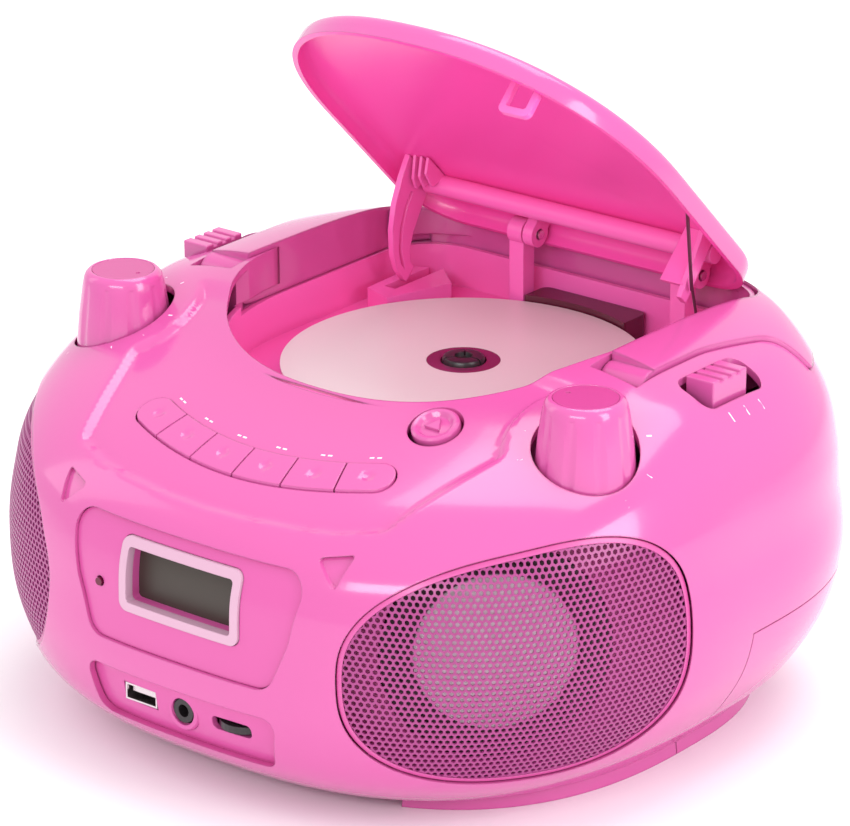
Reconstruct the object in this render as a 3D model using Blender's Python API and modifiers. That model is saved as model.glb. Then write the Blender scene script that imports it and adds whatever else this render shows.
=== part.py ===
"""Portable CD player: a round top-loading player with two speakers and a fold-down carrying handle.

World frame: +X right, +Y back, +Z up, metres. The origin is under the middle of the case, on the ground.
The lid is modelled open, turned up about its hinge axis.
"""
import math

import bmesh
import bpy
from mathutils import Matrix, Vector

# Case
HALF_WIDTH = 0.132
FRONT_DEPTH = 0.131
REAR_DEPTH = 0.1055
BODY_HEIGHT = 0.131
WALL = 0.0024
GAP = 0.0004
SQUARENESS = 2.6
RING_POINTS = 56
STEPS_PER_STATION = 2
BODY_Y = (FRONT_DEPTH - REAR_DEPTH) / 2
# Case outline by height: share of height, then of half width, front depth and rear depth
STATIONS = (
    (0.034, 0.780, 0.770, 0.800),
    (0.061, 0.803, 0.870, 0.862),
    (0.145, 0.890, 0.966, 0.900),
    (0.282, 0.970, 1.000, 0.957),
    (0.435, 1.000, 0.992, 0.990),
    (0.573, 0.981, 0.981, 1.000),
    (0.687, 0.970, 0.920, 0.995),
    (0.794, 0.932, 0.756, 0.986),
    (0.900, 0.841, 0.470, 0.948),
    (0.947, 0.750, 0.336, 0.891),
    (0.981, 0.591, 0.198, 0.758),
    (0.996, 0.300, 0.080, 0.400),
)
FOOT_HEIGHT = 0.034 * BODY_HEIGHT
FOOT_RAIL_WIDTH = 0.008
FOOT_OPEN_HALF = 0.058
SEAM_Y = BODY_Y - 0.008
SEAM_Z = 0.050

# Disc and its well
DISC_RADIUS = 0.060
DISC_THICKNESS = 0.0012
DISC_HOLE = 0.0075
DISC_Y = BODY_Y + 0.013
DISC_Z = 0.104
WELL_HALF = 0.074
WELL_FRONT = 0.073
WELL_REAR = 0.070
WELL_CORNER = 0.020
WELL_FLOOR = 0.0975
WELL_WALL = 0.0020
WELL_RIM_FRONT = 0.1165

# Lid
LID_GAP = 0.0025
LID_HALF = WELL_HALF - LID_GAP
LID_FRONT = WELL_FRONT - LID_GAP
LID_REAR = 0.069
LID_WALL = 0.0020
LID_SKIRT = 0.0065
LID_CROWN = 0.0125
LID_OPEN = math.radians(44.5)
HINGE_Y = DISC_Y + 0.061
HINGE_Z = 0.1275
HINGE_PIN = 0.0015
POST_X = (-0.0230, 0.0440)
POST_WIDTH = 0.006
EAR_WIDTH = 0.004
EAR_RADIUS = 0.0045

# Handle
ARM_INNER = 0.0747
ARM_OUTER = 0.0910
ARM_SPREAD = 0.0955
HANDLE_FLOOR = 0.1120
HANDLE_UNDER = HANDLE_FLOOR + 0.0006
PIVOT_Y = DISC_Y - 0.020
PIVOT_Z = HANDLE_FLOOR + 0.0080
ARM_END = 0.0073
HANDLE_REAR = 0.0765
HANDLE_CORNER = 0.024
HANDLE_CLEAR = 0.0010
HANDLE_PIN = 0.0025
PIN_END = 0.0964

# Controls
KNOB_X = 0.0945
KNOB_Y = DISC_Y - 0.060
KNOB_TOP_RADIUS = 0.0128
KNOB_BASE_RADIUS = 0.0158
KNOB_HEIGHT = 0.0264
KNOB_TOP = 0.1316
SHAFT_RADIUS = 0.0029
KNOB_HOLE = KNOB_BASE_RADIUS + 0.0009
SLIDER_X = 0.1040
SLIDER_Y = DISC_Y - 0.003
SLIDER_SLOT = (0.0135, 0.032)
SLIDER_THUMB = (0.0105, 0.018)
SLIDER_TOP = 0.1258
KEY_COUNT = 6
KEY_INNER = 0.1040
KEY_OUTER = 0.1155
KEY_SPREAD = math.radians(27.5)
KEY_GAP = 0.0005
KEY_PROUD = 0.0006
KEY_NAMES = ("mode_key", "folder_key", "play_key", "stop_key", "skip_back_key", "skip_forward_key")
OPEN_BUTTON = (0.0475, DISC_Y - 0.0740)
OPEN_BUTTON_RADIUS = 0.0083
OPEN_STEM_RADIUS = 0.0035
LOOP_X = 0.0405
HOOK_X = 0.0378
HOOK_WIDTH = 0.0024
LOOP_Y = DISC_Y - 0.0535
STAY_X = -0.0620
STAY_THICKNESS = 0.0022

# Front
PANEL_TOP_HALF = 0.047
PANEL_BOTTOM_HALF = 0.041
PANEL_HEIGHTS = (0.0465, 0.0855)
BEZEL_HALF = 0.0243
BEZEL_HEIGHTS = (0.0575, 0.0820)
WINDOW_MARGIN = 0.0030
PORT_HALF = 0.0385
PORT_HEIGHTS = (0.0190, 0.0370)
PORT_Z = 0.0290
USB_X = -0.0180
JACK_X = 0.0000
WHEEL_X = 0.0195
WHEEL_RADIUS = 0.0085

# Speakers
SPEAKER_TURN = math.radians(47.0)
SPEAKER_Z = 0.0570
SPEAKER_FRONT = 0.119
SPEAKER_RADIUS = 0.034
GRILLE_SIDE = 0.0050
GRILLE_HALF = 0.0550
GRILLE_RISE = 0.0375
GRILLE_INSET = 0.0012
GRILLE_SQUARENESS = 2.6
GRILLE_SHEET = 0.0010

# Inside and rear
MECH_Z = 0.0880
BOARD_THICKNESS = 0.0016
BATTERY_BAY = (0.110, 0.056, 0.030)
BATTERY_Y = BODY_Y + 0.040
ANTENNA_Z = 0.1010
ANTENNA_Y = BODY_Y + REAR_DEPTH - 0.0135
ANTENNA_X = 0.0700
ANTENNA_RADII = (0.0032, 0.0024, 0.0017)
ANTENNA_LENGTH = 0.128
INLET_X = -0.050
INLET_Z = 0.030

PINK = (0.94, 0.23, 0.60)
DEEP_PINK = (0.80, 0.12, 0.45)
DARK = (0.02, 0.02, 0.02)
METAL = (0.60, 0.60, 0.62)
COPPER_GREEN = (0.05, 0.25, 0.10)
WHITE = (0.83, 0.80, 0.79)


# ---------------------------------------------------------------- scene helpers

def clear_scene():
    for item in list(bpy.data.objects):
        bpy.data.objects.remove(item, do_unlink=True)


def make_collection(name):
    collection = bpy.data.collections.new(name)
    bpy.context.scene.collection.children.link(collection)
    return collection


clear_scene()
PARTS = make_collection("portable_cd_player")
CUTTERS = make_collection("cutters")


def material(name, colour, roughness=0.3, metallic=0.0):
    surface = bpy.data.materials.get(name)
    if surface is None:
        surface = bpy.data.materials.new(name)
        surface.use_nodes = True
        shader = surface.node_tree.nodes["Principled BSDF"]
        shader.inputs["Base Color"].default_value = (*colour, 1.0)
        shader.inputs["Roughness"].default_value = roughness
        shader.inputs["Metallic"].default_value = metallic
    return surface


def add_object(name, mesh, collection, origin=(0, 0, 0)):
    """Link a mesh given in world coordinates, with the object's own origin at a chosen point."""
    mesh.transform(Matrix.Translation(-Vector(origin)))
    item = bpy.data.objects.new(name, mesh)
    item.location = origin
    collection.objects.link(item)
    return item


def part(name, mesh, colour=PINK, roughness=0.3, metallic=0.0, origin=(0, 0, 0)):
    item = add_object(name, mesh, PARTS, origin)
    mesh.materials.append(material(name, colour, roughness, metallic))
    mesh.shade_smooth()
    mesh.set_sharp_from_angle(angle=math.radians(35))
    return item


def guide(name, mesh):
    item = add_object(name, mesh, CUTTERS)
    item.hide_render = True
    item.display_type = "WIRE"
    return item


def boolean(target, tool, operation):
    step = target.modifiers.new(operation.lower(), "BOOLEAN")
    step.operation = operation
    step.solver = "EXACT"
    step.object = tool


def cut(target, mesh):
    boolean(target, guide(target.name + "_cut", mesh), "DIFFERENCE")


def keep(target, mesh):
    boolean(target, guide(target.name + "_keep", mesh), "INTERSECT")


def add(target, mesh):
    boolean(target, guide(target.name + "_add", mesh), "UNION")


def from_bmesh(build):
    mesh = bpy.data.meshes.new("shape")
    build.normal_update()
    build.to_mesh(mesh)
    build.free()
    return mesh


# ---------------------------------------------------------------- plain shapes

def box(centre, size, turn=0.0):
    """A box, turned about Z."""
    build = bmesh.new()
    place = Matrix.Translation(centre) @ Matrix.Rotation(turn, 4, "Z") @ Matrix.Diagonal((*size, 1))
    bmesh.ops.create_cube(build, size=1, matrix=place)
    return from_bmesh(build)


def rod(start, end, radius, end_radius=None, sides=24):
    """A cylinder or cone between two points."""
    start, end = Vector(start), Vector(end)
    along = end - start
    turn = Vector((0, 0, 1)).rotation_difference(along.normalized()).to_matrix().to_4x4()
    build = bmesh.new()
    bmesh.ops.create_cone(build, cap_ends=True, segments=sides, radius1=radius,
                          radius2=radius if end_radius is None else end_radius, depth=along.length,
                          matrix=Matrix.Translation((start + end) / 2) @ turn)
    return from_bmesh(build)


def prism(outline, low, high):
    """A flat outline of (x, y) points, drawn up from one height to another."""
    build = bmesh.new()
    face = build.faces.new([build.verts.new((x, y, low)) for x, y in outline])
    face.normal_update()
    if face.normal.z > 0:
        face.normal_flip()
    grown = bmesh.ops.extrude_face_region(build, geom=[face])
    lifted = [item for item in grown["geom"] if isinstance(item, bmesh.types.BMVert)]
    bmesh.ops.translate(build, verts=lifted, vec=(0, 0, high - low))
    bmesh.ops.recalc_face_normals(build, faces=build.faces)
    return from_bmesh(build)


def front_prism(outline, near=-0.2, far=0.0):
    """A flat outline of (x, z) points, run along Y."""
    mesh = prism([(x, -z) for x, z in outline], near, far)
    mesh.transform(Matrix.Rotation(math.radians(-90), 4, "X"))
    return mesh


def outward(mesh):
    build = bmesh.new()
    build.from_mesh(mesh)
    bmesh.ops.remove_doubles(build, verts=build.verts, dist=0.00002)
    bmesh.ops.recalc_face_normals(build, faces=build.faces)
    build.to_mesh(mesh)
    build.free()


def tube(points, radius, sides=2):
    """A round bar along a line of points, with closed ends."""
    curve = bpy.data.curves.new("bar", "CURVE")
    curve.dimensions = "3D"
    curve.bevel_depth = radius
    curve.bevel_resolution = sides
    curve.use_fill_caps = True
    spline = curve.splines.new("POLY")
    spline.points.add(len(points) - 1)
    for place, point in zip(spline.points, points):
        place.co = (*point, 1)
    item = bpy.data.objects.new("bar", curve)
    CUTTERS.objects.link(item)
    mesh = bpy.data.meshes.new_from_object(item.evaluated_get(bpy.context.evaluated_depsgraph_get()))
    bpy.data.objects.remove(item, do_unlink=True)
    outward(mesh)
    return mesh


def moved(mesh, matrix):
    mesh.transform(matrix)
    return mesh


def arc(centre, radius, start, end, steps):
    """Points on an arc; angles in degrees from +X."""
    angles = [math.radians(start + (end - start) * step / steps) for step in range(steps + 1)]
    return [(centre[0] + radius * math.cos(angle), centre[1] + radius * math.sin(angle)) for angle in angles]


def rounded_box(half_x, half_y, radius, centre=(0, 0), steps=4):
    points = []
    for quarter, (side_x, side_y) in enumerate(((1, 1), (-1, 1), (-1, -1), (1, -1))):
        middle = (centre[0] + side_x * (half_x - radius), centre[1] + side_y * (half_y - radius))
        points += arc(middle, radius, quarter * 90, quarter * 90 + 90, steps)
    return points


# ---------------------------------------------------------------- the case surface

def smooth_value(before, start, end, after, share):
    """Catmull-Rom between start and end."""
    return 0.5 * (2 * start + (end - before) * share
                  + (2 * before - 5 * start + 4 * end - after) * share ** 2
                  + (3 * start - before - 3 * end + after) * share ** 3)


def case_levels():
    """Height, half width, front depth and rear depth of each ring of the case."""
    levels = []
    last = len(STATIONS) - 1
    for index in range(last):
        four = [STATIONS[max(0, min(last, index + step))] for step in (-1, 0, 1, 2)]
        for step in range(STEPS_PER_STATION):
            share = step / STEPS_PER_STATION
            levels.append(tuple(smooth_value(*column, share) for column in zip(*four)))
    levels.append(STATIONS[last])
    sizes = (BODY_HEIGHT, HALF_WIDTH, FRONT_DEPTH, REAR_DEPTH)
    return [tuple(value * size for value, size in zip(level, sizes)) for level in levels]


def case_ring(level, inset):
    height, half_width, front, rear = level
    points = []
    for index in range(RING_POINTS):
        angle = 2 * math.pi * index / RING_POINTS
        across, along = math.cos(angle), math.sin(angle)
        x = math.copysign(abs(across) ** (2 / SQUARENESS), across) * (half_width - inset)
        depth = (rear if along > 0 else front) - inset
        y = BODY_Y + math.copysign(abs(along) ** (2 / SQUARENESS), along) * depth
        points.append((x, y, height))
    return points


def case_solid(inset=0.0, lift=0.0):
    """The whole case as one closed solid, drawn in by inset and raised by lift."""
    build = bmesh.new()
    rings = [[build.verts.new(Vector(point) + Vector((0, 0, lift))) for point in case_ring(level, inset)]
             for level in case_levels()]
    for lower, upper in zip(rings, rings[1:]):
        for index in range(RING_POINTS):
            after = (index + 1) % RING_POINTS
            build.faces.new((lower[index], lower[after], upper[after], upper[index]))
    build.faces.new(list(reversed(rings[0])))
    crown = build.verts.new((0, BODY_Y, BODY_HEIGHT + lift))
    for index in range(RING_POINTS):
        build.faces.new((rings[-1][index], rings[-1][(index + 1) % RING_POINTS], crown))
    return from_bmesh(build)


def case_height(x, y):
    """Height of the case top at a point, read between its rings."""
    def reach(level):
        depth = level[3] if y > BODY_Y else level[2]
        return (abs(x) / level[1]) ** SQUARENESS + (abs(y - BODY_Y) / depth) ** SQUARENESS
    levels = [level for level in case_levels() if level[0] > 0.5 * BODY_HEIGHT]
    for lower, upper in zip(levels, levels[1:]):
        low, high = reach(lower), reach(upper)
        if low <= 1 < high:
            return lower[0] + (upper[0] - lower[0]) * (1 - low) / (high - low)
    return BODY_HEIGHT


def skin(name, tool, outer, inner, colour, **look):
    """A piece of the case skin between two insets, inside the tool's outline."""
    item = part(name, tool, colour, **look)
    keep(item, case_solid(outer))
    cut(item, case_solid(inner))
    return item


# ---------------------------------------------------------------- outlines

def well_outline(offset=0.0):
    """The disc well in plan: a rounded bow in front, straight sides, a rounded rear."""
    half, front, rear = WELL_HALF + offset, WELL_FRONT + offset, WELL_REAR + offset
    right = []
    for step in range(11):
        angle = math.radians(90 * step / 10)
        x = half * math.sin(angle) ** (2 / 2.3)
        right.append((x, DISC_Y - front * math.cos(angle) ** (2 / 2.3)))
    right = right[1:]
    corner = WELL_CORNER + offset
    right += arc((half - corner, DISC_Y + rear - corner), corner, 0, 90, 6)
    return [(0.0, DISC_Y - front)] + right + [(-x, y) for x, y in reversed(right)]


def handle_inner(offset=0.0):
    half, rear = ARM_INNER + offset, DISC_Y + HANDLE_REAR + offset
    corner = HANDLE_CORNER + offset
    return arc((half - corner, rear - corner), corner, 0, 90, 6)


def handle_outline(offset=0.0, front=PIVOT_Y - ARM_END):
    """The folded handle in plan: a U, open to the front, that runs past the back of the case."""
    beyond = BODY_Y + REAR_DEPTH + 0.02
    outer = [(ARM_OUTER + offset, front - offset), (ARM_OUTER + offset, DISC_Y + 0.005),
             (ARM_SPREAD + offset, DISC_Y + 0.034), (ARM_SPREAD + 0.014 + offset, DISC_Y + 0.048),
             (HALF_WIDTH, DISC_Y + 0.054), (HALF_WIDTH, beyond)]
    inner = [(ARM_INNER - offset, front - offset)] + handle_inner(-offset)
    return outer + [(-x, y) for x, y in reversed(outer)] + [(-x, y) for x, y in inner] + list(reversed(inner))


def grille_outline(grow=0.0):
    """The speaker opening seen along the speaker axis: (sideways, up), narrower towards the front."""
    points = []
    for step in range(32):
        angle = 2 * math.pi * step / 32
        side = math.copysign(abs(math.cos(angle)) ** (2 / GRILLE_SQUARENESS), math.cos(angle))
        rise = math.copysign(abs(math.sin(angle)) ** (2 / GRILLE_SQUARENESS), math.sin(angle))
        taper = 1 + 0.13 * side
        tilt = 0.0035 * side
        points.append((GRILLE_SIDE + side * (GRILLE_HALF + grow),
                       SPEAKER_Z + rise * (GRILLE_RISE + grow) * taper + tilt))
    return points


def speaker_frame(side):
    """Turns shapes made along -Y at the case middle to face out along a speaker axis."""
    return Matrix.Translation((0, BODY_Y, 0)) @ Matrix.Rotation(side * SPEAKER_TURN, 4, "Z")


def grille_prism(side, grow=0.0):
    outline = grille_outline(grow)
    if side < 0:
        outline = [(-across, up) for across, up in reversed(outline)]
    return moved(front_prism(outline, -0.20, -0.100), speaker_frame(side))


def panel_outline(grow=0.0):
    low, high = PANEL_HEIGHTS
    top, bottom = PANEL_TOP_HALF + grow, PANEL_BOTTOM_HALF + grow
    low, high = low - grow, high + grow
    chamfer = 0.006
    right = [(bottom - chamfer, low), (bottom, low + chamfer), (top, high - chamfer), (top - chamfer, high)]
    return right + [(-x, z) for x, z in reversed(right)]


def front_box(half, heights, grow=0.0, radius=0.003, x=0.0):
    middle = (heights[0] + heights[1]) / 2
    return rounded_box(half + grow, (heights[1] - heights[0]) / 2 + grow, radius + grow, (x, middle))


def key_sector(start, end, inner, outer, steps=5):
    """An arc-shaped cell about the disc axis; angles in radians from -Y towards +X."""
    first = [(inner, start + (end - start) * step / steps) for step in range(steps + 1)]
    second = [(outer, end + (start - end) * step / steps) for step in range(steps + 1)]
    return [(radius * math.sin(angle), DISC_Y - radius * math.cos(angle)) for radius, angle in first + second]


# ---------------------------------------------------------------- case shells

def case_shell(name):
    shell = part(name, case_solid(), PINK, 0.18)
    wall = shell.modifiers.new("wall", "SOLIDIFY")
    wall.thickness = WALL
    wall.offset = -1
    return shell


def foot_rails(top):
    """The rim that the case stands on, open at the front middle."""
    ring = case_ring(case_levels()[0], 0.0)
    inner = case_ring(case_levels()[0], FOOT_RAIL_WIDTH)
    build = bmesh.new()
    low_out = [build.verts.new((x, y, 0)) for x, y, _ in ring]
    low_in = [build.verts.new((x, y, 0)) for x, y, _ in inner]
    high_out = [build.verts.new((x, y, top)) for x, y, _ in case_ring(case_levels()[0], 0.0006)]
    high_in = [build.verts.new((x, y, top)) for x, y, _ in inner]
    for index in range(RING_POINTS):
        after = (index + 1) % RING_POINTS
        build.faces.new((low_out[index], low_out[after], high_out[after], high_out[index]))
        build.faces.new((low_in[after], low_in[index], high_in[index], high_in[after]))
        build.faces.new((low_in[index], low_in[after], low_out[after], low_out[index]))
        build.faces.new((high_out[index], high_out[after], high_in[after], high_in[index]))
    return from_bmesh(build)


def make_top_cabinet():
    cabinet = case_shell("top_cabinet")
    add(cabinet, foot_rails(FOOT_HEIGHT + WALL / 2))
    trough = guide("handle_trough", prism(handle_outline(HANDLE_CLEAR + WALL), HANDLE_FLOOR - WALL, 0.14))
    boolean(trough, guide("trough_limit", case_solid(0.001, -0.001)), "INTERSECT")
    boolean(cabinet, trough, "UNION")
    cut(cabinet, prism(handle_outline(HANDLE_CLEAR, PIVOT_Y - ARM_END - 0.0007), HANDLE_FLOOR, 0.14))
    cut(cabinet, prism(well_outline(), WELL_FLOOR - 0.004, 0.14))
    cut(cabinet, prism(well_outline(WELL_WALL + GAP), WELL_FLOOR - 0.005, WELL_RIM_FRONT + GAP))
    cut(cabinet, rear_region(0.0))
    cut(cabinet, box((0, BODY_Y - FRONT_DEPTH, 0), (2 * FOOT_OPEN_HALF, 0.10, 2 * FOOT_HEIGHT - 0.0002)))
    cut_controls(cabinet)
    cut_front(cabinet)
    cut_antenna_groove(cabinet)
    return cabinet


def cut_antenna_groove(cabinet):
    """A groove across the back, with a wall of its own behind it, open at the left end."""
    floor = ANTENNA_Y - 0.0040
    backing = guide("groove_wall", box((-0.010, floor - WALL + 0.020, ANTENNA_Z), (0.186, 0.040, 0.0142)))
    boolean(backing, guide("groove_limit", case_solid(0.001, -0.001)), "INTERSECT")
    boolean(cabinet, backing, "UNION")
    cut(cabinet, box((-0.012, floor + 0.020, ANTENNA_Z), (0.184, 0.040, 0.0094)))
    bracket_hole = rod((ANTENNA_X, ANTENNA_Y, ANTENNA_Z), (ANTENNA_X, ANTENNA_Y - 0.014, ANTENNA_Z),
                       0.0040, sides=20)
    cut(cabinet, bracket_hole)


def rear_region(grow):
    """The lower rear part of the case, which is a shell of its own."""
    depth = 0.20
    return box((0, SEAM_Y - grow + depth / 2, SEAM_Z + grow - 0.1), (0.4, depth, 0.2))


def cut_controls(cabinet):
    for side in (-1, 1):
        cut(cabinet, rod((side * KNOB_X, KNOB_Y, 0.09), (side * KNOB_X, KNOB_Y, 0.14), KNOB_HOLE, sides=32))
        slot = rounded_box(SLIDER_SLOT[0] / 2, SLIDER_SLOT[1] / 2, 0.0045, (side * SLIDER_X, SLIDER_Y))
        cut(cabinet, prism(slot, 0.10, 0.14))
        cut(cabinet, handle_axle(side, 0.0060, PIN_END + GAP, HANDLE_PIN + GAP))
    strip = key_sector(-KEY_SPREAD - 0.004, KEY_SPREAD + 0.004, KEY_INNER - KEY_GAP, KEY_OUTER + KEY_GAP, 12)
    cut(cabinet, prism(strip, 0.090, 0.14))
    x, y = OPEN_BUTTON
    cut(cabinet, rod((x, y, 0.10), (x, y, 0.14), OPEN_BUTTON_RADIUS + KEY_GAP, sides=24))


def cut_front(cabinet):
    for side in (-1, 1):
        cut(cabinet, grille_prism(side, GAP))
    cut(cabinet, front_prism(panel_outline(GAP), -0.2, BODY_Y - 0.06))
    cut(cabinet, front_prism(front_box(PORT_HALF, PORT_HEIGHTS, GAP), -0.2, BODY_Y - 0.06))


def make_rear_cabinet():
    cabinet = case_shell("rear_cabinet")
    add(cabinet, foot_rails(FOOT_HEIGHT + WALL / 2))
    keep(cabinet, rear_region(-GAP))
    length, width, _ = BATTERY_BAY
    cut(cabinet, box((0, BATTERY_Y, 0), (length, width, 0.03)))
    cut(cabinet, box((INLET_X, BODY_Y + REAR_DEPTH - 0.006, INLET_Z), (0.0208, 0.03, 0.0168)))
    return cabinet


# ---------------------------------------------------------------- disc well and lid

def make_well():
    well = part("disc_well", prism(well_outline(WELL_WALL), WELL_FLOOR - WELL_WALL, WELL_RIM_FRONT), PINK,
                0.25)
    cut(well, prism(well_outline(0), WELL_FLOOR, 0.14))
    step = PIVOT_Y - ARM_END - 0.003
    cut(well, box((0, step + 0.10, HANDLE_FLOOR + 0.05), (0.3, 0.20, 0.10)))
    for x in POST_X:
        rise = HINGE_Z - WELL_FLOOR
        add(well, box((x, HINGE_Y, WELL_FLOOR + rise / 2 - 0.001), (POST_WIDTH, 0.006, rise)))
        add(well, rod((x - POST_WIDTH / 2, HINGE_Y, HINGE_Z), (x + POST_WIDTH / 2, HINGE_Y, HINGE_Z),
                      EAR_RADIUS, sides=16))
    for x in POST_X:
        cut(well, rod((x - 0.01, HINGE_Y, HINGE_Z), (x + 0.01, HINGE_Y, HINGE_Z), HINGE_PIN + GAP, sides=12))
    cut(well, rod((0, DISC_Y, 0.08), (0, DISC_Y, 0.11), 0.018, sides=28))
    cut(well, box((0.030, DISC_Y + 0.030, WELL_FLOOR), (0.056, 0.014, 0.02), math.radians(45)))
    cut(well, box((HOOK_X, LOOP_Y - 0.010, 0.1230), (HOOK_WIDTH + 0.0014, 0.020, 0.0220)))
    return well


def lid_outline(inset, steps=10):
    right = []
    for step in range(1, steps + 1):
        angle = math.radians(90 * step / steps)
        x = (LID_HALF - inset) * math.sin(angle) ** (2 / 2.3)
        right.append((x, DISC_Y - (LID_FRONT - inset) * math.cos(angle) ** (2 / 2.3)))
    corner = WELL_CORNER - inset * 0.4
    half, rear = LID_HALF - inset, DISC_Y + LID_REAR - inset
    right += arc((half - corner, rear - corner), corner, 0, 90, 4)
    return [(0.0, DISC_Y - LID_FRONT + inset)] + right + [(-x, y) for x, y in reversed(right)]


def lid_solid(drop):
    """The lid as a closed dome above the hinge plane; drop lowers its surface for the inside."""
    rings = ((0.0, 0.0), (0.0008, LID_SKIRT * 0.7), (0.0035, LID_SKIRT), (0.015, LID_SKIRT + 0.0025),
             (0.035, LID_CROWN - 0.0008))
    build = bmesh.new()
    loops = []
    for inset, height in rings:
        low = -0.001 if height == 0.0 and drop else height - (drop if height else 0.0)
        loops.append([build.verts.new((x, y, HINGE_Z + low)) for x, y in lid_outline(inset + drop)])
    for lower, upper in zip(loops, loops[1:]):
        for index in range(len(lower)):
            after = (index + 1) % len(lower)
            build.faces.new((lower[index], lower[after], upper[after], upper[index]))
    build.faces.new(list(reversed(loops[0])))
    crown = build.verts.new((0, DISC_Y, HINGE_Z + LID_CROWN - drop))
    for index in range(len(loops[-1])):
        build.faces.new((loops[-1][index], loops[-1][(index + 1) % len(loops[-1])], crown))
    return from_bmesh(build)


def make_lid():
    """The lid is shaped closed, then turned up about the hinge by its object rotation."""
    hinge = (0, HINGE_Y, HINGE_Z)
    lid = part("disc_lid", lid_solid(0.0), PINK, 0.18, origin=hinge)
    pieces = [(cut, lid_solid(LID_WALL))]
    for x in POST_X:
        ear = x + POST_WIDTH / 2 + EAR_WIDTH / 2 + 0.0006
        pieces.append((add, box((ear, HINGE_Y - 0.001, HINGE_Z + 0.0034), (EAR_WIDTH, 0.007, 0.0068))))
        pieces.append((add, rod((ear - EAR_WIDTH / 2, HINGE_Y, HINGE_Z),
                                (ear + EAR_WIDTH / 2, HINGE_Y, HINGE_Z), EAR_RADIUS, sides=16)))
        pieces.append((cut, rod((ear - EAR_WIDTH, HINGE_Y, HINGE_Z), (ear + EAR_WIDTH, HINGE_Y, HINGE_Z),
                                HINGE_PIN + GAP, sides=12)))
    pieces.append((add, stay_plate()))
    pieces.append((add, latch_loop()))
    pieces.append((cut, loop_opening()))
    for action, mesh in pieces:
        turn_into_place(lid, action, mesh, hinge)
    lid.rotation_euler.x = -LID_OPEN


def turn_into_place(lid, action, mesh, hinge):
    """Applies a tool shaped on the closed lid to the open one."""
    opening = Matrix.Rotation(-LID_OPEN, 4, "X")
    pivot = Matrix.Translation(hinge) @ opening @ Matrix.Translation(-Vector(hinge))
    action(lid, moved(mesh, pivot))


def stay_plate():
    """The curved stop arm at the left of the lid, a plate across X, hooked down into the well."""
    outer = ((14, 4), (13, -10), (6, -22), (-2.5, -27), (-4.8, -27))
    inner = ((-4.8, -21), (-1, -20), (4, -12), (5, -2), (4, 4))
    outline = [(forward / 1000, up / 1000) for forward, up in outer + inner]
    mesh = prism(outline, -STAY_THICKNESS / 2, STAY_THICKNESS / 2)
    turn = Matrix(((0, 0, -1, 0), (-1, 0, 0, 0), (0, 1, 0, 0), (0, 0, 0, 1)))
    return moved(mesh, Matrix.Translation((STAY_X, HINGE_Y, HINGE_Z)) @ turn)


def latch_loop():
    """The catch under the lid's front edge, beside the open button."""
    return box((LOOP_X, LOOP_Y, HINGE_Z - 0.0009), (0.012, 0.0022, 0.0152))


def loop_opening():
    return box((LOOP_X, LOOP_Y, HINGE_Z - 0.0030), (0.0076, 0.010, 0.0060))


def make_hinge_pins():
    for name, x in zip(("hinge_pin_left", "hinge_pin_right"), POST_X):
        part(name, rod((x - POST_WIDTH / 2 - 0.0006, HINGE_Y, HINGE_Z),
                       (x + POST_WIDTH / 2 + EAR_WIDTH + 0.0014, HINGE_Y,
                        HINGE_Z), HINGE_PIN, sides=12), METAL, 0.3, 1.0)


def make_lid_spring():
    """The wire that lifts the lid: a leg down into the well and a leg up under the lid."""
    x = LID_HALF - 0.0125
    low = (x - 0.002, HINGE_Y - 0.0060, WELL_FLOOR + 0.002)
    high = (x - 0.006, HINGE_Y - 0.0110, HINGE_Z + 0.0165)
    part("lid_spring", tube([low, high], 0.0005, 1), METAL, 0.3, 1.0)


# ---------------------------------------------------------------- handle

def make_handle():
    pivot = (0, PIVOT_Y, PIVOT_Z)
    handle = part("handle", prism(handle_outline(0.0), HANDLE_UNDER, 0.14), PINK, 0.18, origin=pivot)
    keep(handle, case_solid())
    nose = guide("handle_nose", box((0, PIVOT_Y - 0.05, PIVOT_Z), (0.3, 0.10, 0.08)))
    boolean(nose, guide("handle_nose_round", rod((-0.2, PIVOT_Y, PIVOT_Z), (0.2, PIVOT_Y, PIVOT_Z),
                                                 ARM_END, sides=32)),
            "DIFFERENCE")
    boolean(handle, nose, "DIFFERENCE")
    for name, side in (("handle_pin_left", -1), ("handle_pin_right", 1)):
        cut(handle, handle_axle(side, 0.0060, PIN_END + GAP, HANDLE_PIN + GAP))
        part(name, handle_axle(side, 0.0065, PIN_END, HANDLE_PIN), METAL, 0.35, 1.0)


def handle_axle(side, start, end, radius):
    """A rod on the handle's axis; start is measured outward from the arm's inner face."""
    return rod((side * (ARM_INNER + start), PIVOT_Y, PIVOT_Z), (side * end, PIVOT_Y, PIVOT_Z), radius,
               sides=16)


# ---------------------------------------------------------------- controls

def make_knob(name, pot_name, side):
    """A tapered knob on the shaft of its own control."""
    x = side * KNOB_X
    base = KNOB_TOP - KNOB_HEIGHT
    rim = KNOB_TOP - 0.0012
    knob = part(name, rod((x, KNOB_Y, base), (x, KNOB_Y, rim), KNOB_BASE_RADIUS, KNOB_TOP_RADIUS,
                          sides=40), PINK, 0.18,
                origin=(x, KNOB_Y, base))
    add(knob, rod((x, KNOB_Y, rim - 0.001), (x, KNOB_Y, KNOB_TOP), KNOB_TOP_RADIUS - 0.0004,
                  KNOB_TOP_RADIUS - 0.0016,
                  sides=40))
    cut(knob, rod((x, KNOB_Y, base - 0.002), (x, KNOB_Y, KNOB_TOP - 0.008), SHAFT_RADIUS + GAP, sides=16))
    pot = part(pot_name, box((x, KNOB_Y, base - 0.010), (0.017, 0.017, 0.010)), METAL, 0.4, 0.8)
    add(pot, rod((x, KNOB_Y, base - 0.006), (x, KNOB_Y, KNOB_TOP - 0.010), SHAFT_RADIUS, sides=16))


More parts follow.
